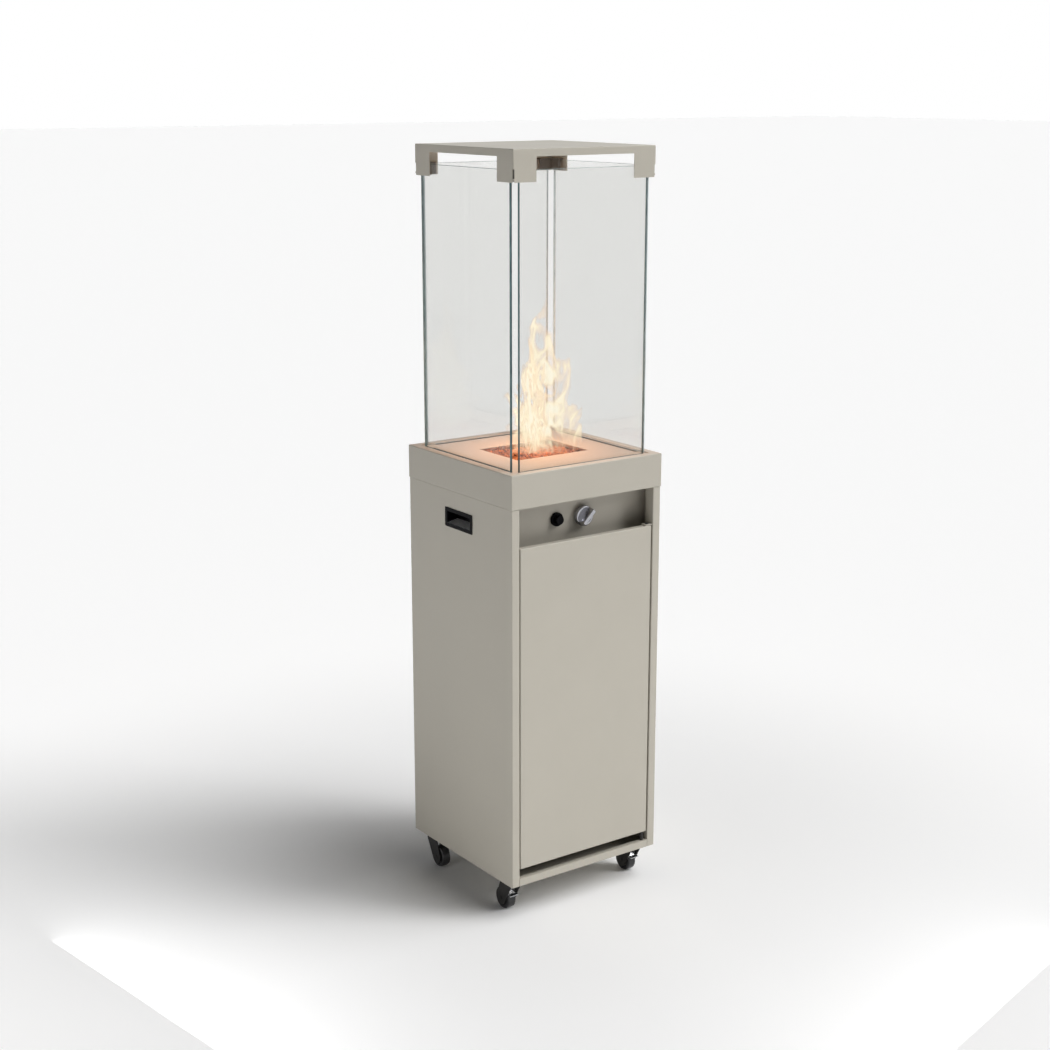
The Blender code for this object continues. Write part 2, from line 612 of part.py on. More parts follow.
def igniter():
    """Spark igniter: body behind the panel, bezel nut in front and the button between them."""
    centre = (BUTTON_X, PANEL_Y, CONTROL_Z)
    tube = BUTTON_RADIUS
    behind = SHEET + GAP
    bore = tube + 0.0005
    body = [(0, -0.052), (bore + 0.0015, -0.052), (bore + 0.0015, -0.010), (bore + 0.004, -0.010),
            (bore + 0.004, -behind), (bore, -behind), (bore, -0.009), (bore - 0.002, -0.009),
            (bore - 0.002, -0.022), (0, -0.022)]
    smooth(add_object("igniter_body", turned(body, centre, axis="-Y", sides=24), BLACK_PLASTIC))
    bezel = [(tube + 0.0003, GAP), (BEZEL_RADIUS, GAP), (BEZEL_RADIUS, BEZEL_LENGTH - 0.0015),
             (BEZEL_RADIUS - 0.0015, BEZEL_LENGTH), (tube + 0.0003, BEZEL_LENGTH)]
    smooth(add_object("igniter_bezel", turned(bezel, centre, axis="-Y", closed=True),
                      BLACK_PLASTIC))
    tip = BEZEL_LENGTH + BUTTON_LENGTH - 0.007
    button = [(0, -0.012), (0.0080, -0.012), (0.0080, -0.0005), (tube - 0.0005, -0.0005),
              (tube - 0.0005, tip - 0.001), (tube - 0.0015, tip), (0, tip)]
    smooth(add_object("igniter_button", turned(button, (0, 0, 0), axis="-Y", sides=24),
                      BLACK_PLASTIC, parent=add_empty("igniter_axis", centre)))


# ---- burner --------------------------------------------------------------------------------
def burner_tray():
    """Polished tray hung under the deck by its flange."""
    half_x = BURNER_LENGTH / 2
    half_y = BURNER_WIDTH / 2
    tray = add_object("burner_tray", box(
        (-half_x - SHEET, -half_y - SHEET, TRAY_Z), (half_x + SHEET, half_y + SHEET, TRAY_TOP)),
        STAINLESS)
    weld(tray, box((-half_x - TRAY_FLANGE, -half_y - TRAY_FLANGE, TRAY_TOP - SHEET),
                   (half_x + TRAY_FLANGE, half_y + TRAY_FLANGE, TRAY_TOP)))
    cut(tray, box((-half_x, -half_y, TRAY_Z + SHEET), (half_x, half_y, TRAY_TOP + 0.01)))
    holes = turned(rod(VENTURI_RADIUS + GAP, TRAY_Z - 0.01, TRAY_Z + 0.01), (0, 0, 0),
                   sides=SMALL_ROUND)
    cut(tray, holes)
    for side in (-1, 1):
        cut(tray, turned(rod(PROBE_SLEEVE + GAP, TRAY_Z - 0.01, TRAY_Z + 0.01),
                         (side * PROBE_X, PROBE_Y, 0), sides=SMALL_ROUND))
    return tray


def burner_tube():
    """Burner pipe along the tray, with the venturi that feeds it from below."""
    half = BURNER_TUBE_LENGTH / 2
    pipe = add_object("burner_tube", turned(rod(BURNER_TUBE_RADIUS, -half, half), (0, 0, TUBE_Z),
                                            axis="X", sides=SMALL_ROUND), STAINLESS)
    weld(pipe, turned(rod(VENTURI_RADIUS, VENTURI_Z, TUBE_Z), (0, 0, 0), sides=SMALL_ROUND))
    bore = turned(rod(VENTURI_RADIUS - 0.003, VENTURI_Z - 0.01, TUBE_Z), (0, 0, 0),
                  sides=SMALL_ROUND)
    cut(pipe, bore)
    return smooth(pipe)


def lava_bed():
    """Bed of pebbles round the burner pipe, with a lumpy top."""
    half_x = BURNER_LENGTH / 2 - 0.0015
    half_y = BURNER_WIDTH / 2 - 0.0015
    low = TRAY_Z + SHEET + GAP
    top = DECK_TOP - BED_DROP
    columns = 15
    rows = 12
    bm = bmesh.new()
    grid = []
    for row in range(rows + 1):
        line = []
        for column in range(columns + 1):
            x = -half_x + 2 * half_x * column / columns
            y = -half_y + 2 * half_y * row / rows
            lump = 0.0016 * sin(3.1 * column + 1.7 * row) + 0.0014 * sin(2.3 * row - 1.9 * column)
            line.append(bm.verts.new((x, y, top + lump)))
        grid.append(line)
    for row in range(rows):
        for column in range(columns):
            bm.faces.new((grid[row][column], grid[row][column + 1],
                          grid[row + 1][column + 1], grid[row + 1][column]))
    rim = [edge for edge in bm.edges if edge.is_boundary]
    skirt = bmesh.ops.extrude_edge_only(bm, edges=rim)["geom"]
    for vert in (item for item in skirt if isinstance(item, bmesh.types.BMVert)):
        vert.co.z = low
    bmesh.ops.holes_fill(bm, edges=[edge for edge in bm.edges if edge.is_boundary], sides=0)
    bed = add_object("lava_bed", bm, LAVA)
    channel = BURNER_TUBE_RADIUS + 0.001
    length = BURNER_TUBE_LENGTH / 2 + 0.001
    cut(bed, box((-length, -channel, low - 0.01), (length, channel, TUBE_Z + channel)))
    cut(bed, box((-VENTURI_RADIUS - 0.001, -VENTURI_RADIUS - 0.001, low - 0.01),
                 (VENTURI_RADIUS + 0.001, VENTURI_RADIUS + 0.001, TUBE_Z + 0.001)))
    for side in (-1, 1):
        cut(bed, turned(rod(PROBE_SLEEVE + GAP, low - 0.01, top + 0.01),
                        (side * PROBE_X, PROBE_Y, 0), sides=SMALL_ROUND))
    return bed


def probe(name, side, finish, tip_radius):
    """Thermocouple or electrode: a sleeve through the tray and a thin tip above the pebbles."""
    tip = DECK_TOP + 0.004
    profile = [(0, TRAY_Z - 0.020), (PROBE_SLEEVE, TRAY_Z - 0.020), (PROBE_SLEEVE, DECK_TOP - 0.010),
               (tip_radius, DECK_TOP - 0.008), (tip_radius, tip), (0, tip)]
    return smooth(add_object(name, turned(profile, (side * PROBE_X, PROBE_Y, 0),
                                          sides=SMALL_ROUND), finish))


def heat_shield():
    """Folded plate under the tray that keeps the heat off the valve."""
    top = TRAY_Z - SHIELD_DROP
    half = SHIELD_LENGTH / 2
    path = [(-half, top - SHIELD_LIP), (-half, top), (half, top), (half, top - SHIELD_LIP)]
    shield = add_object("heat_shield", prism(folded(path, -0.001), "Y", -SHIELD_WIDTH / 2,
                                             SHIELD_WIDTH / 2), STAINLESS)
    cut(shield, turned(rod(VENTURI_RADIUS + 0.001, top - 0.01, top + 0.01), (0, 0, 0),
                       sides=SMALL_ROUND))
    for side in (-1, 1):
        cut(shield, turned(rod(PROBE_SLEEVE + 0.001, top - 0.01, top + 0.01),
                           (side * PROBE_X, PROBE_Y, 0), sides=SMALL_ROUND))
    return shield


def injector():
    """Brass jet in the mouth of the venturi."""
    low = VENTURI_Z - 0.012
    jet = VENTURI_RADIUS - 0.003 - GAP
    profile = [(0, low), (0.006, low), (0.006, VENTURI_Z - GAP), (jet, VENTURI_Z - GAP),
               (jet, VENTURI_Z + 0.006), (0.002, VENTURI_Z + 0.009), (0, VENTURI_Z + 0.009)]
    return smooth(add_object("injector", turned(profile, (0, 0, 0), sides=SMALL_ROUND), BRASS))


def gas_pipe():
    """Bent pipe from the back of the valve to the injector."""
    start = Vector((KNOB_X, PANEL_Y + VALVE_SETBACK + VALVE_LENGTH + GAP, CONTROL_Z))
    end = Vector((0, 0, VENTURI_Z - 0.012 - GAP))
    corner = Vector((end.x, end.y, start.z))
    shoulder = Vector((start.x, start.y + 0.020, start.z))
    bend = min(0.020, (end.z - start.z) * 0.6)
    route = [start, shoulder, corner + (shoulder - corner).normalized() * bend]
    for step in range(1, 5):
        blend = step / 5
        first = route[2].lerp(corner, blend)
        second = corner.lerp(corner + Vector((0, 0, bend)), blend)
        route.append(first.lerp(second, blend))
    route += [corner + Vector((0, 0, bend)), end]
    curve = bpy.data.curves.new("gas_pipe", "CURVE")
    curve.dimensions = "3D"
    curve.bevel_depth = PIPE_RADIUS
    curve.bevel_resolution = 2
    curve.use_fill_caps = True
    spline = curve.splines.new("POLY")
    spline.points.add(len(route) - 1)
    for point, place in zip(spline.points, route):
        point.co = (*place, 1.0)
    pipe = bpy.data.objects.new("gas_pipe", curve)
    bpy.context.collection.objects.link(pipe)
    material = bpy.data.materials.new("gas_pipe")
    material.use_nodes = True
    shader = material.node_tree.nodes["Principled BSDF"]
    shader.inputs["Base Color"].default_value = (*BRASS[0], 1.0)
    shader.inputs["Roughness"].default_value = BRASS[1]
    shader.inputs["Metallic"].default_value = BRASS[2]
    curve.materials.append(material)
    return pipe


# ---- glass and top frame -------------------------------------------------------------------
def glass_panes():
    inner_x = PANE_X - PANE_THICKNESS
    inner_y = PANE_Y - PANE_THICKNESS
    add_object("glass_pane_front", box((-PANE_END_X, -PANE_Y, PANE_Z),
                                       (PANE_END_X, -inner_y, PANE_TOP)), GLASS)
    add_object("glass_pane_back", box((-PANE_END_X, inner_y, PANE_Z),
                                      (PANE_END_X, PANE_Y, PANE_TOP)), GLASS)
    add_object("glass_pane_left", box((-PANE_X, -PANE_END_Y, PANE_Z),
                                      (-inner_x, PANE_END_Y, PANE_TOP)), GLASS)
    add_object("glass_pane_right", box((inner_x, -PANE_END_Y, PANE_Z),
                                       (PANE_X, PANE_END_Y, PANE_TOP)), GLASS)


def top_frame():
    """Sheet cap over the panes, closed on top, with a window cut in each side for the hot gas."""
    frame = add_object("top_frame", box((-FRAME_X, -FRAME_Y, FRAME_Z),
                                        (FRAME_X, FRAME_Y, FRAME_TOP)), TAUPE)
    cut(frame, box((-FRAME_X + SHEET, -FRAME_Y + SHEET, FRAME_Z - 0.01),
                   (FRAME_X - SHEET, FRAME_Y - SHEET, FRAME_TOP - SHEET)))
    window_x = FRAME_X - FRAME_TAB
    window_y = FRAME_Y - FRAME_TAB
    top = FRAME_TOP - FRAME_BAND
    cutter = box((-window_x, -FRAME_Y - 0.01, FRAME_Z - 0.01), (window_x, FRAME_Y + 0.01, top))
    cut(frame, cutter)
    return cut(frame, box((-FRAME_X - 0.01, -window_y, FRAME_Z - 0.01),
                          (FRAME_X + 0.01, window_y, top)))


def glass_clamp(name, side_x, side_y):
    """Corner clamp: an angle behind two panes, a boss in the frame's corner and a cap on top."""
    face_x = PANE_X - PANE_THICKNESS - GAP
    face_y = PANE_Y - PANE_THICKNESS - GAP
    boss_x = FRAME_X - SHEET - GAP
    boss_y = FRAME_Y - SHEET - GAP
    angle = [(face_x - CLAMP_WALL, face_y - CLAMP_LEG), (face_x, face_y - CLAMP_LEG),
             (face_x, face_y), (face_x - CLAMP_LEG, face_y),
             (face_x - CLAMP_LEG, face_y - CLAMP_WALL),
             (face_x - CLAMP_WALL, face_y - CLAMP_WALL)]
    cap = [(face_x - CLAMP_WALL, face_y - CLAMP_LEG), (boss_x, face_y - CLAMP_LEG),
           (boss_x, boss_y), (face_x - CLAMP_LEG, boss_y),
           (face_x - CLAMP_LEG, face_y - CLAMP_WALL), (face_x - CLAMP_WALL, face_y - CLAMP_WALL)]
    low = PANE_TOP - CLAMP_DEPTH
    middle = PANE_TOP + GAP

    def corner(outline):
        return [(side_x * x, side_y * y) for x, y in outline]

    clamp = add_object(name, prism(corner(angle), "Z", low, middle + 0.001), BLACK_STEEL)
    weld(clamp, prism(corner(cap), "Z", middle, middle + CLAMP_CAP))
    boss = [(PANE_END_X + 0.001, PANE_END_Y + 0.001), (boss_x, PANE_END_Y + 0.001),
            (boss_x, boss_y), (PANE_END_X + 0.001, boss_y)]
    return weld(clamp, prism(corner(boss), "Z", low, middle + 0.001))


# ---- casters -------------------------------------------------------------------------------
def caster(name, x, y, trail, braked):
    """Swivel caster in its own frame: the empty stands on the floor under the swivel axis."""
    swivel = add_empty(f"{name}_swivel", (x, y, 0))
    plate_top = FLOOR_Z - GAP
    plate_low = plate_top - PLATE_THICKNESS
    race_low = plate_low - RACE_HEIGHT
    crown_top = race_low - GAP
    crown_low = crown_top - 0.003
    head_top = crown_low - GAP
    half = PLATE_SIZE / 2

    plate = add_object(f"{name}_plate", box((-half, -half, plate_low), (half, half, plate_top)),
                       BLACK_STEEL, parent=swivel)
    stem = [(0, plate_low + 0.001), (RACE_RADIUS, plate_low + 0.001), (RACE_RADIUS, race_low),
            (KING_PIN_RADIUS, race_low), (KING_PIN_RADIUS, head_top),
            (KING_PIN_RADIUS + 0.003, head_top), (KING_PIN_RADIUS + 0.003, head_top - 0.0015),
            (0, head_top - 0.0015)]
    weld(plate, turned(stem, (0, 0, 0), sides=24))

    side = 1 if trail > 0 else -1
    reach = abs(trail)
    outline = arc((reach, WHEEL_RADIUS), CHEEK_RADIUS, 195, 375, 9)
    outline += [(reach + 0.002, crown_top - 0.004), (reach - 0.003, crown_top),
                (-RACE_RADIUS, crown_top), (-RACE_RADIUS, crown_low - 0.006)]
    outline = [(side * along, height) for along, height in outline]
    fork = add_object(f"{name}_fork", prism(outline, "X", -FORK_WIDTH / 2, FORK_WIDTH / 2),
                      BLACK_STEEL, parent=swivel)
    inner = FORK_WIDTH / 2 - FORK_WALL
    cut(fork, box((-inner, -0.1, -0.01), (inner, 0.1, crown_low)))
    cut(fork, turned(rod(AXLE_RADIUS + GAP, -0.03, 0.03), (0, trail, WHEEL_RADIUS), axis="X",
                     sides=SMALL_ROUND))
    cut(fork, turned(rod(KING_PIN_RADIUS + GAP, crown_low - 0.01, crown_top + 0.01), (0, 0, 0),
                     sides=SMALL_ROUND))

    end = FORK_WIDTH / 2 + 0.001
    cap = AXLE_RADIUS + 0.0015
    rivet = [(0, -end), (cap, -end), (cap, -FORK_WIDTH / 2 - GAP),
             (AXLE_RADIUS, -FORK_WIDTH / 2 - GAP), (AXLE_RADIUS, FORK_WIDTH / 2 + GAP),
             (cap, FORK_WIDTH / 2 + GAP), (cap, end), (0, end)]
    smooth(add_object(f"{name}_axle", turned(rivet, (0, trail, WHEEL_RADIUS), axis="X",
                                             sides=SMALL_ROUND), BLACK_STEEL,
                      origin=(0, trail, WHEEL_RADIUS), parent=swivel))

    width = WHEEL_WIDTH / 2
    hub = 0.008
    rim = WHEEL_RADIUS - 0.006
    bore = AXLE_RADIUS + GAP
    tread = [(bore, -width), (hub, -width), (hub + 0.001, -width + 0.004), (rim, -width + 0.004),
             (rim + 0.001, -width), (WHEEL_RADIUS - 0.002, -width), (WHEEL_RADIUS, -width + 0.0025),
             (WHEEL_RADIUS, width - 0.0025), (WHEEL_RADIUS - 0.002, width), (rim + 0.001, width),
             (rim, width - 0.004), (hub + 0.001, width - 0.004), (hub, width), (bore, width)]
    smooth(add_object(f"{name}_wheel", turned(tread, (0, trail, WHEEL_RADIUS), axis="X",
                                              closed=True), BLACK_TREAD,
                      origin=(0, trail, WHEEL_RADIUS), parent=swivel))
    if braked:
        brake_pedal(name, swivel, trail, inner, crown_low)


def brake_pedal(name, swivel, trail, inner, crown_low):
    """Toe brake of a front caster: a bent tab between the cheeks, in front of the tread."""
    pivot = (PEDAL_PIVOT[0], crown_low - PEDAL_PIVOT[1])
    half = inner - GAP
    reach = WHEEL_RADIUS + PEDAL_GAP + PEDAL_THICKNESS
    heel = [(trail + reach * cos(radians(turn)), WHEEL_RADIUS + reach * sin(radians(turn)))
            for turn in (128, 147)]
    toe = (heel[1][0] - PEDAL_LENGTH, heel[1][1] - 0.001)
    tab = [(pivot[0] + 0.003, pivot[1] + 0.001), (pivot[0] - 0.001, pivot[1] + 0.001), *heel, toe]
    outline = folded(tab, PEDAL_THICKNESS)
    smooth(add_object(f"{name}_brake", prism(outline, "X", -half, half), ZINC,
                      origin=(0, pivot[0], pivot[1]), parent=swivel))


def build():
    clear_scene()
    base_pan()
    side_panel("side_panel_left", -1)
    side_panel("side_panel_right", 1)
    back_panel()
    control_panel()
    collar()
    deck_plate()
    handle_cup("handle_cup_left", -1)
    handle_cup("handle_cup_right", 1)
    door(add_empty("door_hinge", (HINGE_X, HINGE_Y, 0)))
    magnet_catch()
    hinge_parts()
    gas_control(add_empty("knob_axis", (KNOB_X, PANEL_Y, CONTROL_Z)))
    gas_valve()
    hose_nozzle()
    igniter()
    burner_tray()
    burner_tube()
    lava_bed()
    probe("thermocouple", -1, STAINLESS, PROBE_RADIUS)
    probe("spark_electrode", 1, CERAMIC, PROBE_RADIUS / 2)
    heat_shield()
    injector()
    gas_pipe()
    glass_panes()
    top_frame()
    for end_name, side_y in (("front", -1), ("rear", 1)):
        for side_name, side_x in (("left", -1), ("right", 1)):
            glass_clamp(f"glass_clamp_{end_name}_{side_name}", side_x, side_y)
            caster(f"caster_{end_name}_{side_name}", side_x * CASTER_X, side_y * CASTER_Y,
                   trail=-side_y * CASTER_TRAIL, braked=end_name == "front")


build()
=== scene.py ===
import bmesh
import bpy
from math import cos, pi, radians, sin
from mathutils import Matrix, Vector
from mathutils import noise as drift
import random


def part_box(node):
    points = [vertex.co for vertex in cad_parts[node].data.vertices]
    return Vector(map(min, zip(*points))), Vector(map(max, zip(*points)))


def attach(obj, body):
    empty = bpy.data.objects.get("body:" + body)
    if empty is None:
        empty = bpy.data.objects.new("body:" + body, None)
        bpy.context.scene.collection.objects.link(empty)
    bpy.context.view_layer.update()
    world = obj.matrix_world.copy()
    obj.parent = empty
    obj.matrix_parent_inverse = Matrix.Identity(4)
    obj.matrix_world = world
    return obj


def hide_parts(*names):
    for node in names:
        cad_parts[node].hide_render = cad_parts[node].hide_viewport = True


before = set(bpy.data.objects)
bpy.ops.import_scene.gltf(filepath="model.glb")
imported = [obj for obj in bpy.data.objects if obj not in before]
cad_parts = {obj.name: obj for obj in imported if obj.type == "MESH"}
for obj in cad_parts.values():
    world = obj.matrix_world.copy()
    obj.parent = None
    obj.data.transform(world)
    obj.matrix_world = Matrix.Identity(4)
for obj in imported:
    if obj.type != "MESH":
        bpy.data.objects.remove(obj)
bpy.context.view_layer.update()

# ---- viewpoint ----
# The heater stands upright and is seen from its left front corner, from a little above
# its deck, so that the front, the left side and the top of the collar all show.
bpy.ops.object.select_all(action="DESELECT")
bpy.ops.object.camera_add(
    location=(-2.23216, -3.09576, 1.78932), rotation=(pi / 2 - 0.2478, 0, -0.6197)
)
bpy.context.object.data.lens = 60.647
bpy.context.object.data.sensor_width = 36
bpy.context.scene.camera = bpy.context.object
bpy.context.scene.view_settings.view_transform = "Standard"

# ---- floor and studio light ----
# A plain white floor without end. It glows more the farther it lies from the cabinet: painted
# light that pales the floor toward the horizon and fades the cabinet's shadow. Two broad lamps
# at the front right lay the soft shadow behind the cabinet, and a weaker one lights it from the
# left. Two white boards near the floor throw light up the left side and the door.
bpy.ops.mesh.primitive_plane_add(size=120)
floor = bpy.context.object
floor.name = "floor"
floor_paint = bpy.data.materials.new("floor_paint")
floor_paint.use_nodes = True
floor_shader = floor_paint.node_tree.nodes["Principled BSDF"]
FLOOR_WHITE = 0.90
floor_shader.inputs["Base Color"].default_value = (FLOOR_WHITE, FLOOR_WHITE, FLOOR_WHITE, 1)
floor_shader.inputs["Roughness"].default_value = 0.9
floor_shader.inputs["Specular IOR Level"].default_value = 0.1
floor.data.materials.append(floor_paint)
nodes = floor_paint.node_tree.nodes
join = floor_paint.node_tree.links.new
place = nodes.new("ShaderNodeTexCoord")
reach = nodes.new("ShaderNodeVectorMath")
reach.operation = "LENGTH"
# Painted light: the floor's emission rises with distance from the cabinet, from none at 0.25 m to
# 0.21 at 1.8 m.
painted_glow_ramp = nodes.new("ShaderNodeMapRange")
painted_glow_ramp.interpolation_type = "SMOOTHSTEP"
PAINTED_GLOW_FROM, PAINTED_GLOW_TO, PAINTED_GLOW_BY = 0.25, 1.8, 0.21
painted_glow_ramp.inputs["From Min"].default_value = PAINTED_GLOW_FROM
painted_glow_ramp.inputs["From Max"].default_value = PAINTED_GLOW_TO
painted_glow_ramp.inputs["To Max"].default_value = PAINTED_GLOW_BY
join(place.outputs["Object"], reach.inputs[0])
join(reach.outputs["Value"], painted_glow_ramp.inputs["Value"])
join(painted_glow_ramp.outputs["Result"], floor_shader.inputs["Emission Strength"])
floor_shader.inputs["Emission Color"].default_value = (1, 1, 1, 1)

for sun_name, toward, height, strength, softness in (
    ("high_front_lamp", (0.72, -0.69), 60, 1.75, 40),
    ("low_front_lamp", (0.72, -0.69), 32, 1.28, 25),
    ("left_lamp", (-1, 0), 25, 0.10, 40),
    ("back_lamp", (0.7, 0.7), 45, 0.25, 40),
):
    level = Vector((*toward, 0)).normalized() * cos(radians(height))
    aim = level + Vector((0, 0, sin(radians(height))))
    bpy.ops.object.light_add(type="SUN", rotation=aim.to_track_quat("Z", "Y").to_euler())
    bpy.context.object.name = sun_name
    bpy.context.object.data.energy = strength
    bpy.context.object.data.angle = radians(softness)

BOARD_SIZE = 0.9
BOARD_TILT = -0.45
for reflector, spot, strength in (
    ("left_reflector", (-1.0, -0.15, 0.03), 4.2),
    ("front_reflector", (0.3, -1.1, 0.03), 3.0),
):
    aim = Vector((spot[0], spot[1], BOARD_TILT))
    bpy.ops.object.light_add(
        type="AREA", location=spot, rotation=aim.to_track_quat("Z", "Y").to_euler()
    )
    bpy.context.object.name = reflector
    bpy.context.object.data.size = BOARD_SIZE
    bpy.context.object.data.energy = strength
    bpy.context.object.visible_glossy = False
    bpy.context.object.visible_camera = False

ROOM_LIGHT = 0.04
MIRRORED_ROOM = 0.7
room = bpy.data.worlds.new("room")
bpy.context.scene.world = room
room.use_nodes = True
sky = room.node_tree.nodes["Background"]
sky.inputs["Color"].default_value = (1, 1, 1, 1)
seen = room.node_tree.nodes.new("ShaderNodeLightPath")
level = room.node_tree.nodes.new("ShaderNodeMapRange")
level.inputs["To Min"].default_value = ROOM_LIGHT
level.inputs["To Max"].default_value = 1.0
mirrored = room.node_tree.nodes.new("ShaderNodeMath")
mirrored.operation = "MULTIPLY_ADD"
mirrored.inputs[1].default_value = MIRRORED_ROOM
room.node_tree.links.new(seen.outputs["Is Camera Ray"], level.inputs["Value"])
room.node_tree.links.new(seen.outputs["Is Glossy Ray"], mirrored.inputs[0])
room.node_tree.links.new(level.outputs["Result"], mirrored.inputs[2])
room.node_tree.links.new(mirrored.outputs["Value"], sky.inputs["Strength"])

# ---- base pan ----
# Folded steel tray that closes the cabinet underneath. Its front edge is turned up into the
# rail below the door. It is pressed from 1.5 mm sheet and powder coated in satin taupe.
SHEET = 0.0015
ARRIS = 0.0004
BEND_ANGLE = 0.6
CUT_ANGLE = radians(40)
SHADE_ANGLE = radians(38)


def make_finish(name, colour, deeper, rough, metal=0.0, grain=60, streak=(1, 1, 1), relief=0.00002,
                relief_grain=1200, coat=0.0):
    """A finish whose colour, gloss and surface drift a little over the piece."""
    finish = bpy.data.materials.new(name)
    finish.use_nodes = True
    nodes = finish.node_tree.nodes
    join = finish.node_tree.links.new
    shader = nodes["Principled BSDF"]
    place = nodes.new("ShaderNodeTexCoord")
    lay = nodes.new("ShaderNodeMapping")
    lay.inputs["Scale"].default_value = streak
    join(place.outputs["Object"], lay.inputs["Vector"])
    cloud = nodes.new("ShaderNodeTexNoise")
    cloud.inputs["Scale"].default_value = grain
    cloud.inputs["Detail"].default_value = 5
    join(lay.outputs["Vector"], cloud.inputs["Vector"])
    tint = nodes.new("ShaderNodeValToRGB")
    tint.color_ramp.elements[0].position = 0.3
    tint.color_ramp.elements[0].color = (*deeper, 1)
    tint.color_ramp.elements[1].position = 0.7
    tint.color_ramp.elements[1].color = (*colour, 1)
    join(cloud.outputs["Fac"], tint.inputs["Fac"])
    join(tint.outputs["Color"], shader.inputs["Base Color"])
    gloss = nodes.new("ShaderNodeMapRange")
    gloss.inputs["From Min"].default_value = 0.3
    gloss.inputs["From Max"].default_value = 0.7
    gloss.inputs["To Min"].default_value = rough[0]
    gloss.inputs["To Max"].default_value = rough[1]
    join(cloud.outputs["Fac"], gloss.inputs["Value"])
    join(gloss.outputs["Result"], shader.inputs["Roughness"])
    fine = nodes.new("ShaderNodeTexNoise")
    fine.inputs["Scale"].default_value = relief_grain
    fine.inputs["Detail"].default_value = 2
    join(lay.outputs["Vector"], fine.inputs["Vector"])
    raised = nodes.new("ShaderNodeBump")
    raised.inputs["Distance"].default_value = relief
    join(fine.outputs["Fac"], raised.inputs["Height"])
    join(raised.outputs["Normal"], shader.inputs["Normal"])
    shader.inputs["Metallic"].default_value = metal
    shader.inputs["Coat Weight"].default_value = coat
    shader.inputs["Coat Roughness"].default_value = 0.1
    return finish


def centre(part):
    """Middle of a face or an edge."""
    return sum((corner.co for corner in part.verts), Vector()) / len(part.verts)


def pick(kind, wanted):
    """Select the open piece's faces or edges that pass the test, and nothing else."""
    bpy.ops.mesh.select_mode(type=kind)
    bpy.ops.mesh.select_all(action="DESELECT")
    mesh = bpy.context.edit_object.data
    shape = bmesh.from_edit_mesh(mesh)
    shape.normal_update()
    for part in shape.faces if kind == "FACE" else shape.edges:
        part.select_set(bool(wanted(part)))
    shape.select_flush_mode()
    bmesh.update_edit_mesh(mesh)


def is_fold(edge):
    """True where two faces meet at a real bend."""
    return len(edge.link_faces) == 2 and edge.calc_face_angle() > BEND_ANGLE


def pull_faces(along):
    """Extrude the selected faces by a vector."""
    bpy.ops.mesh.extrude_region_move(TRANSFORM_OT_translate={"value": along})


def pull_edges(along):
    """Extrude the selected edges by a vector."""
    bpy.ops.mesh.extrude_edges_move(TRANSFORM_OT_translate={"value": along})


def apply_modifier(piece, kind, **settings):
    """Give the piece a modifier, set it and apply it."""
    bpy.context.view_layer.objects.active = piece
    modifier = piece.modifiers.new(kind.lower(), kind)
    for name, value in settings.items():
        setattr(modifier, name, value)
    bpy.ops.object.modifier_apply(modifier=modifier.name)


def open_block(name, low, high):
    """Add a block between two corners and open it for shaping, with nothing selected."""
    bpy.ops.object.select_all(action="DESELECT")
    low, high = Vector(low), Vector(high)
    bpy.ops.mesh.primitive_cube_add(size=1, location=(low + high) / 2)
    piece = bpy.context.object
    piece.name = piece.data.name = name
    piece.scale = high - low
    bpy.ops.object.transform_apply(location=True, rotation=True, scale=True)
    bpy.ops.object.mode_set(mode="EDIT")
    bpy.ops.mesh.select_all(action="DESELECT")
    return piece


def open_copy(node, name):
    """Copy a node of the frame, merge its triangles into plain faces and open it for shaping."""
    bpy.ops.object.select_all(action="DESELECT")
    piece = bpy.data.objects.new(name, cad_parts[node].data.copy())
    piece.data.name = name
    piece.data.materials.clear()
    bpy.context.collection.objects.link(piece)
    piece.select_set(True)
    bpy.context.view_layer.objects.active = piece
    bpy.ops.mesh.customdata_custom_splitnormals_clear()
    bpy.ops.object.mode_set(mode="EDIT")
    bpy.ops.mesh.select_all(action="SELECT")
    bpy.ops.mesh.remove_doubles(threshold=1e-6)
    bpy.ops.mesh.dissolve_limited(angle_limit=radians(1))
    return piece


def fold_sheet(piece, thickness=SHEET):
    """Close the piece and give its sheet its thickness, inwards."""
    bpy.ops.object.mode_set(mode="OBJECT")
    apply_modifier(piece, "SOLIDIFY", thickness=thickness, offset=-1, use_even_offset=True)


def finish_piece(piece, body, slot, finish, *nodes, arris=ARRIS, steps=2):
    """Round the cut edges, shade the piece, paint it and hang it on its body."""
    if bpy.context.mode == "EDIT_MESH":
        bpy.ops.object.mode_set(mode="OBJECT")
    if arris:
        apply_modifier(piece, "BEVEL", width=arris, segments=steps, limit_method="ANGLE",
                       angle_limit=CUT_ANGLE)
    bpy.ops.object.select_all(action="DESELECT")
    piece.select_set(True)
    bpy.context.view_layer.objects.active = piece
    bpy.ops.object.shade_smooth_by_angle(angle=SHADE_ANGLE)
    apply_modifier(piece, "WEIGHTED_NORMAL", keep_sharp=True)
    for each in finish if isinstance(finish, tuple) else (finish,):
        piece.data.materials.append(each)
    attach(piece, body)
    if nodes:
        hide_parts(*nodes)
    return piece


taupe = make_finish("taupe_powder_coat", (0.465, 0.436, 0.374), (0.452, 0.424, 0.363), (0.42, 0.50),
                    grain=9, relief=0.000015, relief_grain=1500)
finish_piece(open_copy("base_pan", "base_pan_folded"), "cabinet", "taupe_paint", taupe, "base_pan")

# ---- side panels ----
# Each side is one sheet folded three times: a flange at the back, the side itself, the narrow
# stile beside the door and the stile's return. The handle is let into an opening near the top.
FOLD = 0.0020
STILE_EDGE = -0.17895
STILE_RETURN = 0.025
TOP_TURN = 0.0165
CUP_HOLE_HALF_WIDTH = 0.0463
CUP_HOLE_HALF_HEIGHT = 0.0148


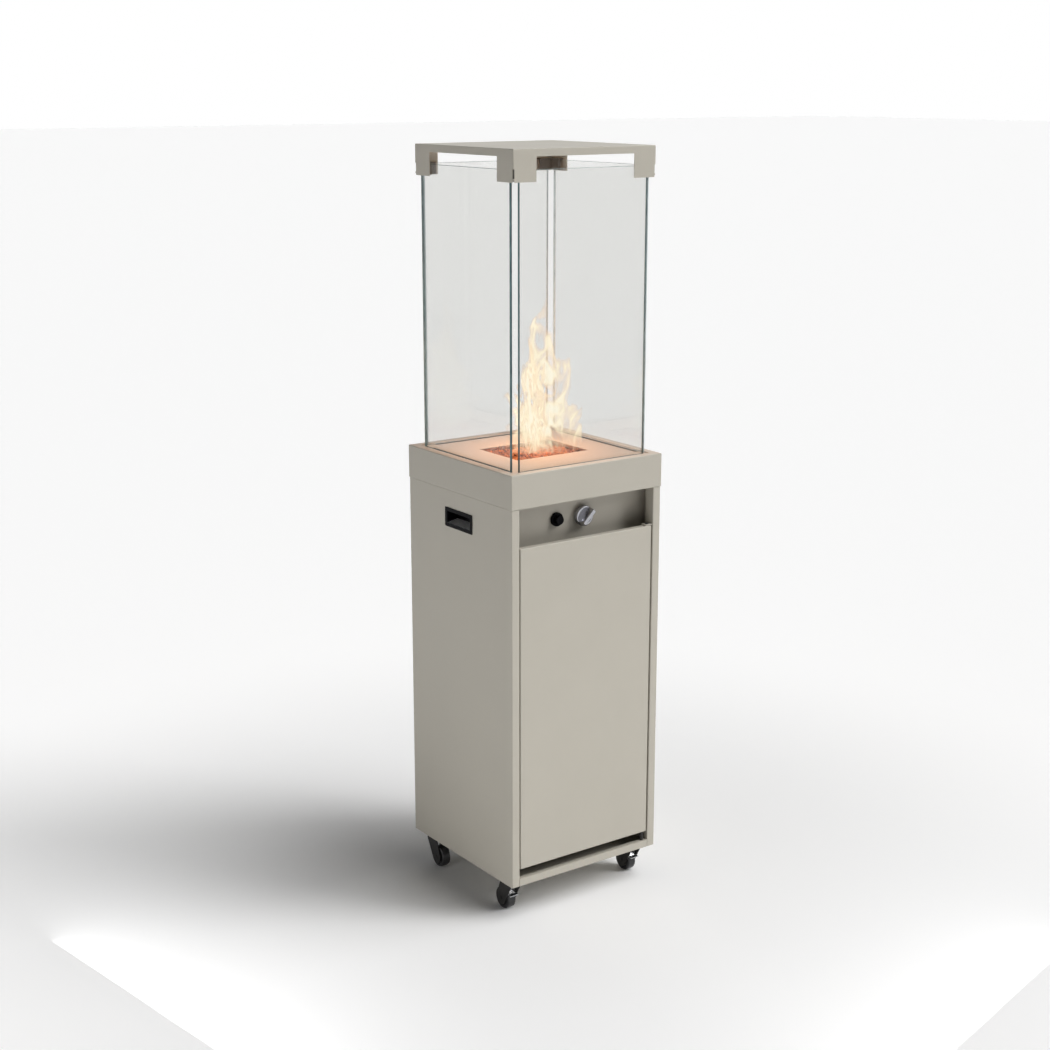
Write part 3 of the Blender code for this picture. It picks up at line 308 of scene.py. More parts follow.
def mirrored_copy(piece, name):
    """Copy a left-hand piece as its right-hand twin, and leave the copy open."""
    other = piece.copy()
    other.data = piece.data.copy()
    other.name = other.data.name = name
    bpy.context.collection.objects.link(other)
    bpy.ops.object.select_all(action="DESELECT")
    other.select_set(True)
    bpy.context.view_layer.objects.active = other
    other.scale.x = -1
    bpy.ops.object.transform_apply(location=False, rotation=False, scale=True)
    bpy.ops.object.mode_set(mode="EDIT")
    bpy.ops.mesh.select_all(action="SELECT")
    bpy.ops.mesh.normals_make_consistent(inside=False)
    return other


low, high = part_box("side_panel_left")
cup_low, cup_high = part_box("handle_cup_left")
handle_z = (cup_low.z + cup_high.z) / 2
side = open_block("side_panel_left_folded", low, high)
pick("FACE", lambda face: abs(face.normal.z) > 0.9 or face.normal.x > 0.9)
bpy.ops.mesh.delete(type="FACE")
pick("EDGE", lambda edge: centre(edge).x > high.x - 1e-5 and centre(edge).y < 0
     and abs(centre(edge).z - low.z) > 0.1 and abs(centre(edge).z - high.z) > 0.1)
bpy.ops.transform.translate(value=(STILE_EDGE - high.x, 0, 0))
pull_edges((0, STILE_RETURN, 0))
pick("EDGE", is_fold)
bpy.ops.mesh.bevel(offset=FOLD, segments=4, affect="EDGES")
for plane, normal in (
    ((0, -CUP_HOLE_HALF_WIDTH, 0), (0, 1, 0)),
    ((0, CUP_HOLE_HALF_WIDTH, 0), (0, 1, 0)),
    ((0, 0, handle_z - CUP_HOLE_HALF_HEIGHT), (0, 0, 1)),
    ((0, 0, handle_z + CUP_HOLE_HALF_HEIGHT), (0, 0, 1)),
):
    pick("FACE", lambda face: face.normal.x < -0.99)
    bpy.ops.mesh.bisect(plane_co=plane, plane_no=normal)
pick("FACE", lambda face: face.normal.x < -0.99 and abs(centre(face).y) < 0.04
     and abs(centre(face).z - handle_z) < 0.01)
bpy.ops.mesh.delete(type="FACE")
pick("EDGE", lambda edge: centre(edge).z > high.z - 1e-5 and centre(edge).x < low.x + 1e-5)
pull_edges((TOP_TURN, 0, 0))
fold_sheet(side)
right_side = mirrored_copy(side, "side_panel_right_folded")
finish_piece(right_side, "cabinet", "taupe_paint", taupe, "side_panel_right")
finish_piece(side, "cabinet", "taupe_paint", taupe, "side_panel_left")

# ---- back panel ----
# Flat steel back with two banks of pressed vents and a hole for the hose. It is held inside
# the side panels' flanges.
finish_piece(open_copy("back_panel", "back_panel_vented"), "cabinet", "taupe_paint", taupe,
             "back_panel")

# ---- control panel ----
# Steel panel set back behind the door's face, folded over at its top and bottom. The gas
# valve and the igniter are bolted through it.
finish_piece(open_copy("control_panel", "control_panel_folded"), "cabinet", "taupe_paint", taupe,
             "control_panel")

# ---- collar ----
# Square steel band round the head of the cabinet, folded in at the top for the rim and in at
# the bottom for the foot that it is screwed down by.
RIM_WIDTH = 0.020
FOOT_WIDTH = 0.018
low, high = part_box("collar")
band = open_block("collar_band", low, high)
for upward, width in ((1, RIM_WIDTH), (-1, FOOT_WIDTH)):
    pick("FACE", lambda face: face.normal.z * upward > 0.9)
    bpy.ops.mesh.inset(thickness=width)
    bpy.ops.mesh.delete(type="FACE")
pick("EDGE", is_fold)
bpy.ops.mesh.bevel(offset=FOLD, segments=4, affect="EDGES")
fold_sheet(band)
finish_piece(band, "cabinet", "taupe_paint", taupe, "collar")

# ---- deck plate ----
# Flat steel deck inside the collar, with the burner's opening in the middle and a long air
# slot beside each pane.
finish_piece(open_copy("deck_plate", "deck_plate_pressed"), "cabinet", "taupe_paint", taupe,
             "deck_plate", arris=0.0005)

# ---- pull handles ----
# Moulded black cup pushed into each side panel from outside. Its lip lies on the paint and
# its floor slopes up towards the back for the fingers. The floor is coloured near white: painted
# light that stands in for the light lying in the cup.
gloss_black = make_finish("glossy_moulded_black", (0.006, 0.006, 0.007), (0.004, 0.004, 0.005),
                          (0.16, 0.24), grain=40, relief=0.000008, relief_grain=900)
gloss_black.node_tree.nodes["Principled BSDF"].inputs["Specular IOR Level"].default_value = 0.04
# Painted light: a near-white colour for the floor of the black cup.
painted_light_on_cup_floor = make_finish("cup_floor_painted_light_grey", (0.92, 0.92, 0.91), (0.86, 0.86, 0.85), (0.35, 0.45),
                        grain=50, relief=0.00001)
LIP = 0.007
LIP_BACK = -0.19905
LIP_HALF_WIDTH = 0.053
CUP_WALL = 0.0015
CUP_SLOPE = 0.006
cup_low, cup_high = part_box("handle_cup_left")
cup = open_block("handle_cup_left_moulded", cup_low, (LIP_BACK, cup_high.y, cup_high.z))
pick("FACE", lambda face: face.normal.x > 0.9)
bpy.ops.mesh.inset(thickness=LIP)
pull_faces((cup_high.x - LIP_BACK, 0, 0))
pick("FACE", lambda face: face.normal.x < -0.9)
bpy.ops.mesh.inset(thickness=LIP + CUP_WALL)
pull_faces((cup_high.x - CUP_WALL - cup_low.x, 0, 0))
pick("EDGE", lambda edge: abs(centre(edge).x - cup_high.x + CUP_WALL) < 1e-5
     and centre(edge).z < handle_z - 0.01)
bpy.ops.transform.translate(value=(0, 0, CUP_SLOPE))
pick("EDGE", lambda edge: is_fold(edge) and abs(edge.verts[0].co.x - edge.verts[1].co.x) > 0.0005
     and abs(abs(centre(edge).y) - LIP_HALF_WIDTH) < 1e-4)
bpy.ops.mesh.bevel(offset=0.0025, segments=4, affect="EDGES")
bpy.ops.object.mode_set(mode="OBJECT")
right_cup = mirrored_copy(cup, "handle_cup_right_moulded")
for piece, node in ((right_cup, "handle_cup_right"), (cup, "handle_cup_left")):
    finish_piece(piece, "cabinet", "black_plastic", (gloss_black, painted_light_on_cup_floor), node, arris=0.0003)
    for face in piece.data.polygons:
        # Upward faces low inside the cup get the near-white painted light.
        inside = abs(abs(face.center.x) - 0.186) < 0.011 and face.normal.z > 0.8
        if inside and face.center.z < handle_z - 0.004 and abs(face.center.y) < 0.045:
            face.material_index = 1

# ---- door ----
# Shallow steel pan with its four edges folded back. It turns on two pins at its right-hand
# edge and closes on a magnet behind the left-hand stile.
low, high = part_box("door_panel")
leaf = open_block("door_pan", low, high)
pick("FACE", lambda face: face.normal.y > 0.9)
bpy.ops.mesh.delete(type="FACE")
pick("EDGE", is_fold)
bpy.ops.mesh.bevel(offset=FOLD, segments=4, affect="EDGES")
fold_sheet(leaf)
finish_piece(leaf, "door", "taupe_paint", taupe, "door_panel")
finish_piece(open_copy("door_stiffener", "door_stiffener_hat"), "door", "taupe_paint", taupe,
             "door_stiffener", arris=0.0003)

# ---- hinge, strike and catch ----
# The pins are black steel and the strike is bright zinc. The bracket is painted with the
# cabinet, and the catch is a magnet in a black moulding.
zinc = make_finish("bright_zinc", (0.70, 0.71, 0.72), (0.62, 0.63, 0.65), (0.22, 0.34), metal=1.0,
                   grain=300, relief=0.00001)
grained_black = make_finish("grained_moulded_black", (0.014, 0.014, 0.015), (0.010, 0.010, 0.011),
                            (0.30, 0.42), grain=60, relief=0.00002, relief_grain=1400)
satin_black = make_finish("satin_black_steel", (0.030, 0.029, 0.028), (0.020, 0.019, 0.019),
                          (0.28, 0.40), metal=0.4, grain=80, relief=0.00001)


def coat_nodes(finish, *nodes):
    """Give nodes that keep their own mesh a finish."""
    for node in nodes:
        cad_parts[node].data.materials.clear()
        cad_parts[node].data.materials.append(finish)


coat_nodes(satin_black, "hinge_pin_top", "hinge_pin_bottom")
coat_nodes(zinc, "strike_plate")
finish_piece(open_copy("hinge_bracket", "hinge_bracket_plate"), "cabinet", "taupe_paint", taupe,
             "hinge_bracket", arris=0.0003)
finish_piece(open_copy("magnet_catch", "magnet_catch_block"), "cabinet", "black_plastic",
             grained_black, "magnet_catch", arris=0.0006)

# ---- gas knob ----
# Cast and chromed knob: a shallow skirt with a raised grip bar across it. It is pushed on the
# valve's spindle and stands clear of the panel, so that it can be pressed in.
chrome = make_finish("polished_chrome", (0.46, 0.46, 0.48), (0.40, 0.40, 0.43), (0.06, 0.14),
                     metal=1.0, grain=90, relief=0.000004)
KNOB_RADIUS = 0.0225
KNOB_SKIRT = 0.010
GRIP_HALF_LENGTH = 0.0217
GRIP_HALF_WIDTH = 0.0062


def open_cylinder(name, radius, depth, middle, turn, sides):
    """Add a cylinder on its side and open it for shaping."""
    bpy.ops.object.select_all(action="DESELECT")
    bpy.ops.mesh.primitive_cylinder_add(
        vertices=sides, radius=radius, depth=depth, rotation=turn, location=middle
    )
    piece = bpy.context.object
    piece.name = piece.data.name = name
    bpy.ops.object.transform_apply(location=True, rotation=True, scale=True)
    bpy.ops.object.mode_set(mode="EDIT")
    return piece


low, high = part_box("gas_knob")
knob_x = (low.x + high.x) / 2
knob_z = (low.z + high.z) / 2
knob_back = high.y
skirt_front = knob_back - KNOB_SKIRT
skirt = open_cylinder(
    "gas_knob_chromed", KNOB_RADIUS, KNOB_SKIRT,
    (knob_x, (knob_back + skirt_front) / 2, knob_z), (pi / 2, 0, 0), 72,
)
pick("EDGE", lambda edge: is_fold(edge) and centre(edge).y < knob_back - 0.009)
bpy.ops.mesh.bevel(offset=0.0022, segments=4, affect="EDGES")
pick("FACE", lambda face: face.normal.y < -0.99 and len(face.verts) > 8)
bpy.ops.mesh.inset(thickness=0.0025)
pull_faces((0, 0.0012, 0))
bpy.ops.object.mode_set(mode="OBJECT")
grip = open_block("grip", (knob_x - GRIP_HALF_LENGTH, low.y, knob_z - GRIP_HALF_WIDTH),
                  (knob_x + GRIP_HALF_LENGTH, skirt_front + 0.004, knob_z + GRIP_HALF_WIDTH))
pick("EDGE", lambda edge: is_fold(edge) and abs(edge.verts[0].co.y - edge.verts[1].co.y) > 0.01)
bpy.ops.mesh.bevel(offset=0.0030, segments=4, affect="EDGES")
pick("FACE", lambda face: face.normal.y < -0.99)
bpy.ops.transform.resize(value=(0.90, 1, 0.72), center_override=(knob_x, low.y, knob_z))
pick("EDGE", lambda edge: is_fold(edge) and centre(edge).y < low.y + 1e-4)
bpy.ops.mesh.bevel(offset=0.0012, segments=3, affect="EDGES")
bpy.ops.mesh.select_all(action="SELECT")
bpy.ops.transform.rotate(value=radians(45), orient_axis="Y",
                         center_override=(knob_x, low.y, knob_z))
bpy.ops.object.mode_set(mode="OBJECT")
apply_modifier(skirt, "BOOLEAN", operation="UNION", solver="EXACT", object=grip)
bpy.data.objects.remove(grip, do_unlink=True)
finish_piece(skirt, "knob", "chrome", chrome, "gas_knob", arris=0)

# ---- igniter ----
# Push-button spark igniter. A ring nut clamps it to the panel and the dished button slides in
# the ring; the body of the sparker is behind the panel.
low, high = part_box("igniter_bezel")
push_x, push_z = (low.x + high.x) / 2, (low.z + high.z) / 2
RING_RADIUS = 0.015
RING_BORE = 0.0108
RING_FRONT_FACE = 0.0136
RING_BACK_FACE = 0.0149
BUTTON_RADIUS = 0.010
for name, node, body, radius, front, back in (
    ("igniter_ring_nut", "igniter_bezel", "cabinet", RING_RADIUS, low.y, high.y),
    ("igniter_push_button", "igniter_button", "igniter", BUTTON_RADIUS,
     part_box("igniter_button")[0].y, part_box("igniter_button")[1].y),
):
    turned = open_cylinder(name, radius, back - front, (push_x, (front + back) / 2, push_z),
                           (pi / 2, 0, 0), 48)
    pick("EDGE", lambda edge: is_fold(edge) and centre(edge).y < front + 1e-4)
    bpy.ops.mesh.bevel(offset=0.0013, segments=4, affect="EDGES")
    if body == "cabinet":
        pick("FACE", lambda face: abs(face.normal.y) > 0.99 and len(face.verts) > 8)
        bpy.ops.mesh.inset(thickness=0.0001)
        pick("FACE", lambda face: face.normal.y < -0.99 and len(face.verts) > 8)
        bpy.ops.transform.resize(value=(RING_BORE / RING_FRONT_FACE,) * 3,
                                 center_override=(push_x, front, push_z))
        pick("FACE", lambda face: face.normal.y > 0.99 and len(face.verts) > 8)
        bpy.ops.transform.resize(value=(RING_BORE / RING_BACK_FACE,) * 3,
                                 center_override=(push_x, back, push_z))
        pick("FACE", lambda face: abs(face.normal.y) > 0.99 and len(face.verts) > 8)
        bpy.ops.mesh.bridge_edge_loops()
    else:
        pick("FACE", lambda face: face.normal.y < -0.99 and len(face.verts) > 8)
        bpy.ops.mesh.inset(thickness=0.0020)
        bpy.ops.mesh.inset(thickness=0.0030, depth=-0.0010)
    finish_piece(turned, body, "black_plastic", gloss_black, node, arris=0)
coat_nodes(grained_black, "igniter_body")

# ---- gas train ----
# Behind the control panel: the brass valve with its spindle and plunger, the barbed nozzle for
# the hose, the pipe to the burner and the jet in the venturi's mouth.
brass = make_finish("machined_brass", (0.72, 0.53, 0.24), (0.62, 0.44, 0.19), (0.25, 0.38), metal=1.0,
                    grain=120, relief=0.00001)
coat_nodes(brass, "gas_valve", "valve_spindle", "valve_plunger", "hose_nozzle", "gas_pipe",
           "injector")

# ---- burner tray ----
# Deep-drawn tray of polished stainless steel hung under the deck by its flange, with the burner
# pipe along its floor and a folded heat shield below it.
stainless = make_finish("polished_stainless", (0.76, 0.74, 0.70), (0.66, 0.64, 0.60), (0.18, 0.30),
                        metal=1.0, grain=220, streak=(1, 1, 0.06), relief=0.00001)
finish_piece(open_copy("burner_tray", "burner_tray_drawn"), "cabinet", "stainless", stainless,
             "burner_tray", arris=0.0005)
coat_nodes(stainless, "burner_tube", "heat_shield", "thermocouple")
ceramic = make_finish("unglazed_ceramic", (0.85, 0.84, 0.80), (0.76, 0.74, 0.70), (0.40, 0.55),
                      grain=200, relief=0.00002)
coat_nodes(ceramic, "spark_electrode")

# ---- lava stones ----
# Loose chips of red-brown lava, 7 to 10 mm across, raked level in the tray over the burner
# pipe, so that the gas comes up between them.
# Their colour drifts from near black to bright orange. The orange is partly the lava's own red-brown
# and partly painted light from the flame.
lava = make_finish("lava_stone", (0.50, 0.20, 0.07), (0.07, 0.026, 0.012), (0.75, 0.95), grain=130,
                   relief=0.0006, relief_grain=520)
low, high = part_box("lava_bed")
bed = open_block("lava_stones", (low.x, low.y, high.z - 0.014), (high.x, high.y, high.z - 0.009))
pick("FACE", lambda face: face.normal.z > 0.9)
bpy.ops.mesh.subdivide(number_cuts=14)
bpy.ops.object.mode_set(mode="OBJECT")
for corner in bed.data.vertices:
    if corner.co.z > high.z - 0.0095:
        corner.co.z += 0.0015 * drift.noise(corner.co * 120)
chance = random.Random(7)
stones = []
for name, reach, squash in (("flat", 0.0055, 0.72), ("round", 0.0050, 0.9), ("long", 0.0058, 0.66)):
    bpy.ops.object.select_all(action="DESELECT")
    bpy.ops.mesh.primitive_ico_sphere_add(subdivisions=2, radius=reach, location=(0, 0, 0))
    stone = bpy.context.object
    stone.name = stone.data.name = f"stone_{name}"
    for corner in stone.data.vertices:
        lump = 1 + 0.55 * drift.noise(corner.co.normalized() * 1.7 + Vector((reach * 9000, 3, 1)))
        corner.co = Vector((corner.co.x * 1.15, corner.co.y * 0.92, corner.co.z * squash)) * lump
    stones.append(stone)
COLUMNS, ROWS = 22, 17
EDGE_X, EDGE_Y = 0.0062, 0.0060
span = high - low
pile = []
for row in range(ROWS):
    for column in range(COLUMNS):
        step = (column + 0.45 * (row % 2)) / (COLUMNS - 0.55)
        x = low.x + EDGE_X + (span.x - 2 * EDGE_X) * step
        y = low.y + EDGE_Y + (span.y - 2 * EDGE_Y) * row / (ROWS - 1)
        chip = chance.choice(stones).copy()
        chip.data = chip.data.copy()
        turn = Matrix.Rotation(chance.uniform(0, 2 * pi), 4, "Z")
        tilt = Matrix.Rotation(chance.uniform(-0.6, 0.6), 4, "X")
        size = chance.uniform(0.72, 1.0)
        spot = Vector((x + chance.uniform(-1, 1) * 0.0012, y + chance.uniform(-1, 1) * 0.0012,
                       high.z - 0.0062 + chance.uniform(-0.0014, 0.0014)))
        chip.data.transform(Matrix.Translation(spot) @ turn @ tilt @ Matrix.Scale(size, 4))
        bpy.context.collection.objects.link(chip)
        pile.append(chip)
bpy.ops.object.select_all(action="DESELECT")
for chip in pile:
    chip.select_set(True)
bed.select_set(True)
bpy.context.view_layer.objects.active = bed
bpy.ops.object.join()
for stone in stones:
    bpy.data.objects.remove(stone, do_unlink=True)
finish_piece(bed, "cabinet", "lava", lava, "lava_bed", arris=0)

# ---- glass panes ----
# Four panes of 6 mm tempered glass stand on the deck inside the collar's rim. Their edges are
# ground and dark teal, and their corners are left open by a finger's width. The back and right
# panes' edges get a paler copy of the teal: painted light.
pane_clear = bpy.data.materials.new("clear_glass")
pane_clear.use_nodes = True
nodes = pane_clear.node_tree.nodes
join = pane_clear.node_tree.links.new
nodes.remove(nodes["Principled BSDF"])
through = nodes.new("ShaderNodeBsdfTransparent")
through.inputs["Color"].default_value = (0.934, 0.935, 0.929, 1)
mirror = nodes.new("ShaderNodeBsdfGlossy")
mirror.inputs["Color"].default_value = (1, 1, 1, 1)
angle = nodes.new("ShaderNodeLayerWeight")
angle.inputs["Blend"].default_value = 0.5
steep = nodes.new("ShaderNodeMath")
steep.operation = "POWER"
steep.inputs[1].default_value = 5
share = nodes.new("ShaderNodeMath")
share.operation = "MULTIPLY_ADD"
share.inputs[1].default_value = 0.95
share.inputs[2].default_value = 0.04
blend = nodes.new("ShaderNodeMixShader")
place = nodes.new("ShaderNodeTexCoord")
film = nodes.new("ShaderNodeTexNoise")
film.inputs["Scale"].default_value = 14
film.inputs["Detail"].default_value = 4
haze = nodes.new("ShaderNodeMapRange")
haze.inputs["From Min"].default_value = 0.4
haze.inputs["From Max"].default_value = 0.75
haze.inputs["To Min"].default_value = 0.0
haze.inputs["To Max"].default_value = 0.02
join(place.outputs["Object"], film.inputs["Vector"])
join(film.outputs["Fac"], haze.inputs["Value"])
join(haze.outputs["Result"], mirror.inputs["Roughness"])
join(angle.outputs["Facing"], steep.inputs[0])
join(steep.outputs["Value"], share.inputs[0])
join(share.outputs["Value"], blend.inputs["Fac"])
join(through.outputs["BSDF"], blend.inputs[1])
join(mirror.outputs["BSDF"], blend.inputs[2])
join(blend.outputs["Shader"], nodes["Material Output"].inputs["Surface"])
pane_edge = make_finish("ground_glass_edge", (0.10, 0.18, 0.19), (0.05, 0.10, 0.11), (0.12, 0.25),
                        grain=40, relief=0.00001)
# Painted light: a paler copy of the teal edge colour, for the back and right panes.
edge_with_painted_light = make_finish("glass_edge_painted_light", (0.50, 0.57, 0.58), (0.36, 0.43, 0.44), (0.10, 0.20),
                        grain=40, relief=0.00001)
low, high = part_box("glass_pane_front")
front = open_block("glass_pane_front_ground", low, high)
pick("EDGE", lambda edge: True)
bpy.ops.mesh.bevel(offset=0.0006, segments=1, affect="EDGES")
bpy.ops.object.mode_set(mode="OBJECT")
for node, turn in (("glass_pane_front", 0), ("glass_pane_right", 90), ("glass_pane_back", 180),
                   ("glass_pane_left", 270)):
    pane = front if turn == 0 else front.copy()
    if turn:
        pane.data = front.data.copy()
        pane.name = pane.data.name = f"{node}_ground"
        bpy.context.collection.objects.link(pane)
        pane.data.transform(Matrix.Rotation(radians(turn), 4, "Z"))
panes = {node: bpy.data.objects[f"{node}_ground"] for node in
         ("glass_pane_front", "glass_pane_right", "glass_pane_back", "glass_pane_left")}
for node, pane in panes.items():
    # The back and right panes' edges take the paler, painted light copy.
    rim = pane_edge if node in ("glass_pane_front", "glass_pane_left") else edge_with_painted_light
    finish_piece(pane, "cabinet", "glass", (pane_clear, rim), node, arris=0)
    across = 1 if node in ("glass_pane_front", "glass_pane_back") else 0
    for face in pane.data.polygons:
        face.material_index = 0 if abs(face.normal[across]) > 0.9 else 1

# ---- top frame ----
# Steel cap folded from one sheet, closed on top, with a window in each side between its corner
# tabs that lets the hot gas out. Each corner is closed at the top and left open as a slit lower
# down, with one tack weld across it.
low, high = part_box("top_frame")
cap = open_block("top_frame_folded", low, high)
pick("FACE", lambda face: face.normal.z < -0.9)
bpy.ops.mesh.delete(type="FACE")
pick("EDGE", is_fold)
bpy.ops.mesh.bevel(offset=0.0016, segments=3, affect="EDGES")
TAB_WIDTH = 0.057
BAND_HEIGHT = 0.016
SLIT_HALF_WIDTH = 0.0035
WELD_LOW, WELD_HIGH, SLIT_TOP = low.z + 0.0045, low.z + 0.0075, low.z + 0.026
window = high.x - TAB_WIDTH
slit = high.x - SLIT_HALF_WIDTH
band_z = high.z - BAND_HEIGHT
for axis in (0, 1):
    for place_along in (-slit, -window, window, slit):
        plane, normal = Vector(), Vector()
        plane[axis] = place_along
        normal[axis] = 1
        pick("FACE", lambda face: abs(face.normal[1 - axis]) > 0.99)
        bpy.ops.mesh.bisect(plane_co=plane, plane_no=normal)
for level in (WELD_LOW, WELD_HIGH, SLIT_TOP, band_z):
    pick("FACE", lambda face: abs(face.normal.z) < 0.2)
    bpy.ops.mesh.bisect(plane_co=(0, 0, level), plane_no=(0, 0, 1))


def in_window(face):
    """True for the part of a wall that the window takes out."""
    spot = centre(face)
    along = spot.x if abs(face.normal.y) > 0.9 else spot.y
    return abs(face.normal.z) < 0.1 and abs(along) < window and spot.z < band_z


def in_slit(face):
    """True for the part of a corner's fold that is left open."""
    spot = centre(face)
    cornered = min(abs(spot.x), abs(spot.y)) > slit
    return cornered and (spot.z < WELD_LOW or WELD_HIGH < spot.z < SLIT_TOP)


pick("FACE", lambda face: in_window(face) or in_slit(face))
bpy.ops.mesh.delete(type="FACE")
fold_sheet(cap)
finish_piece(cap, "cabinet", "taupe_paint", taupe, "top_frame", arris=0.0003)

# ---- glass clamps ----
# Dark satin brackets in the four corners of the top frame, coloured as the taupe paint darkened
# to about a fifth: painted shade, for the shadow under the frame's closed top. Each has an angle
# behind two panes, a block in the open corner and a cap that the frame sits on.
# Painted shade: the taupe paint's colour scaled down to about a fifth.
clamp_painted_shade = make_finish("taupe_in_painted_shade", (0.105, 0.098, 0.086), (0.085, 0.079, 0.069),
                         (0.34, 0.46), grain=60, relief=0.00001)
for end in ("front", "rear"):
    for hand in ("left", "right"):
        node = f"glass_clamp_{end}_{hand}"
        finish_piece(open_copy(node, f"{node}_cast"), "cabinet", "black_steel", clamp_painted_shade, node,
                     arris=0.0004)

# ---- casters ----
# Four twin-cheek swivel casters bolted under the base pan: black pressed forks, moulded black
# wheels on black rivets, and a zinc toe brake on the front pair.
tread_black = make_finish("moulded_nylon_tread", (0.022, 0.022, 0.023), (0.015, 0.015, 0.016),
                          (0.30, 0.48), grain=70, relief=0.00003, relief_grain=700)
for end in ("front", "rear"):
    for hand in ("left", "right"):
        caster = f"caster_{end}_{hand}"
        place = f"{end}_{hand}"
        finish_piece(open_copy(f"{caster}_plate", f"{caster}_plate_pressed"), "cabinet",
                     "black_steel", satin_black, f"{caster}_plate", arris=0.0003)
        finish_piece(open_copy(f"{caster}_fork", f"{caster}_fork_pressed"), f"fork_{place}",
                     "black_steel", satin_black, f"{caster}_fork", arris=0.0004)
        coat_nodes(satin_black, f"{caster}_axle")
        low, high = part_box(f"{caster}_wheel")
        hub = (low + high) / 2
        wheel = open_cylinder(f"{caster}_wheel_moulded", high.z - hub.z, high.x - low.x, hub,
                              (0, pi / 2, 0), 64)
        pick("EDGE", is_fold)
        bpy.ops.mesh.bevel(offset=0.0026, segments=4, affect="EDGES")
        for out in (-1, 1):
            pick("FACE", lambda face: face.normal.x * out > 0.99 and len(face.verts) > 8)
            bpy.ops.mesh.inset(thickness=0.0036)
            bpy.ops.mesh.inset(thickness=0.0008, depth=-0.0034)
            bpy.ops.mesh.inset(thickness=0.0095)
            bpy.ops.mesh.inset(thickness=0.0008, depth=0.0030)
        finish_piece(wheel, f"wheel_{place}", "wheel_tread", tread_black, f"{caster}_wheel", arris=0)
        if end == "front":
            finish_piece(open_copy(f"{caster}_brake", f"{caster}_brake_pressed"),
                         f"brake_{place}", "zinc", zinc, f"{caster}_brake", arris=0.0003)

# ---- flame ----
# The burner is lit. The flame is light and air, no part of the heater: loose curtains of glow
# that rise from the stones, and the warm light that they throw on the deck and the tray.
bpy.ops.object.select_all(action="DESELECT")
FIRE_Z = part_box("lava_bed")[1].z
fire = bpy.data.materials.new("fire_glow")
fire.use_nodes = True
nodes = fire.node_tree.nodes
join = fire.node_tree.links.new
nodes.remove(nodes["Principled BSDF"])
air = nodes.new("ShaderNodeBsdfTransparent")
glow = nodes.new("ShaderNodeEmission")
mix = nodes.new("ShaderNodeMixShader")
spread = nodes.new("ShaderNodeAttribute")
spread.attribute_name = "glow_share"
warm = nodes.new("ShaderNodeValToRGB")
warm.color_ramp.elements[0].position = 0.05
warm.color_ramp.elements[0].color = (1.0, 0.56, 0.28, 1)
warm.color_ramp.elements[1].position = 0.85
warm.color_ramp.elements[1].color = (1.0, 0.93, 0.74, 1)
for position, tone in ((0.25, (1.0, 0.72, 0.46, 1)), (0.50, (1.0, 0.86, 0.60, 1))):
    warm.color_ramp.elements.new(position).color = tone
side_on = nodes.new("ShaderNodeLayerWeight")
side_on.inputs["Blend"].default_value = 0.3
fade = nodes.new("ShaderNodeMapRange")
fade.inputs["From Min"].default_value = 0.95
fade.inputs["From Max"].default_value = 0.45
weight = nodes.new("ShaderNodeMath")
weight.operation = "MULTIPLY"
thick = nodes.new("ShaderNodeMapRange")
thick.inputs["From Min"].default_value = 0.04
thick.inputs["From Max"].default_value = 0.60
thick.inputs["To Max"].default_value = 0.90
join(spread.outputs["Fac"], warm.inputs["Fac"])
join(spread.outputs["Fac"], thick.inputs["Value"])
join(warm.outputs["Color"], glow.inputs["Color"])
join(side_on.outputs["Facing"], fade.inputs["Value"])
join(thick.outputs["Result"], weight.inputs[0])
join(fade.outputs["Result"], weight.inputs[1])
join(weight.outputs["Value"], mix.inputs["Fac"])
join(air.outputs["BSDF"], mix.inputs[1])
join(glow.outputs["Emission"], mix.inputs[2])
join(mix.outputs["Shader"], nodes["Material Output"].inputs["Surface"])
glow.inputs["Strength"].default_value = 1.15


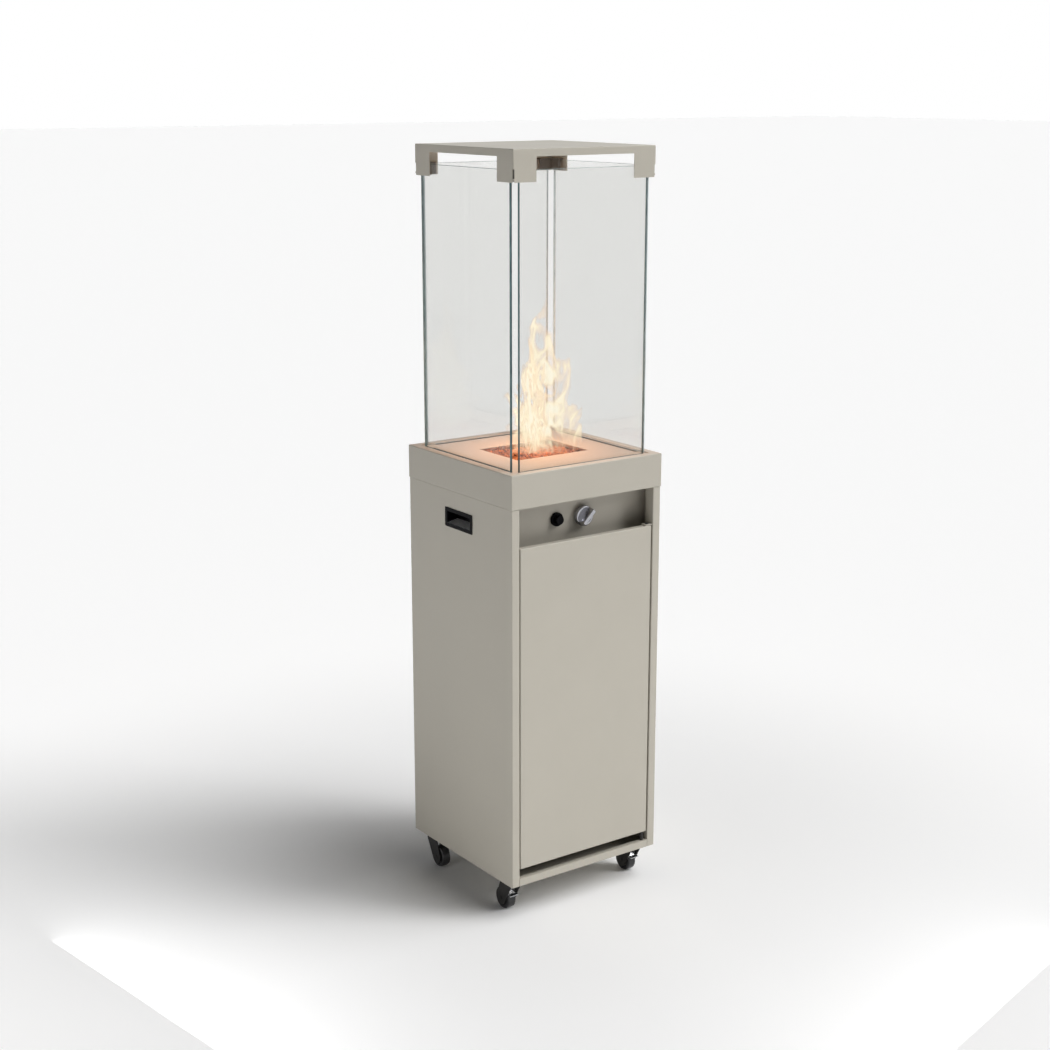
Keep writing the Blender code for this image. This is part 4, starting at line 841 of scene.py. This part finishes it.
def tongue(along, up, seed):
    """How bright a curtain of flame is at a place across it and a height up it, 0 to 1."""
    spot = Vector((along * 1.3, up * 2.4, seed * 3.7))
    curl = Vector((drift.noise(spot * 1.7), drift.noise(spot * 1.7 + Vector((9, 2, 5))), 0))
    swirl = Vector((drift.noise(spot * 4.5), drift.noise(spot * 4.5 + Vector((3, 7, 1))), 0))
    lean = 0.30 * drift.noise(Vector((up * 2.2, seed, 0.5))) * min(1.0, up * 2)
    across = along + lean + 0.30 * curl.x + 0.10 * swirl.x
    rise = max(0.0, up + 0.12 * curl.y + 0.05 * swirl.y)
    width = 0.42 + 0.52 * sin(pi * min(1.0, rise * 1.1 + 0.08)) - 0.32 * rise
    body = 1 - (abs(across) / width) ** 2
    wisp = drift.noise(Vector((across * 2.4, rise * 4.6, seed)) + curl * 1.4)
    fleck = drift.noise(Vector((across * 6.5, rise * 11.0, seed + 7)) + swirl * 1.2)
    streak = 1 - 2.6 * abs(drift.noise(Vector((across * 3.6, rise * 5.4, seed + 20)) + curl * 2.2))
    lit = 0.60 * body + 0.80 * wisp + 0.30 * fleck + 0.34 * streak - 0.10 - 0.42 * rise ** 1.5
    return max(0.0, min(1.0, lit)) * min(1.0, up * 4 + 0.25) * min(1.0, (1 - up) * 6)


for index, (facing, width, height, shift) in enumerate((
    (-35.5, 0.185, 0.350, (0.010, -0.008)),
    (24.5, 0.160, 0.270, (0.006, 0.004)),
    (84.5, 0.160, 0.290, (-0.004, 0.002)),
)):
    bpy.ops.mesh.primitive_grid_add(x_subdivisions=130, y_subdivisions=260, size=2)
    curtain = bpy.context.object
    curtain.name = curtain.data.name = f"flame_{index}"
    heat = curtain.data.attributes.new("glow_share", "FLOAT", "POINT")
    turn = Matrix.Rotation(radians(facing), 3, "Z")
    for corner in curtain.data.vertices:
        along, up = corner.co.x, (corner.co.y + 1) / 2
        heat.data[corner.index].value = tongue(along, up, 2.3 + index)
        fold = 0.006 * drift.noise(Vector((along * 1.6, up * 2.2, index * 5.0)))
        spot = turn @ Vector((along * width / 2, fold, up * height))
        corner.co = spot + Vector((shift[0], shift[1], FIRE_Z - 0.006))
    curtain.data.materials.append(fire)
    bpy.ops.object.shade_smooth()
    curtain.visible_shadow = False
    curtain.visible_diffuse = False
for name, height, energy, size in (
    ("low_fire_light", 0.110, 1.3, 0.06),
    ("high_fire_light", 0.200, 2.0, 0.06),
):
    bpy.ops.object.light_add(type="POINT", location=(0, 0, FIRE_Z + height))
    lamp = bpy.context.object
    lamp.name = name
    lamp.data.energy = energy
    lamp.data.color = (1.0, 0.45, 0.22)
    lamp.data.shadow_soft_size = size
    lamp.visible_glossy = False
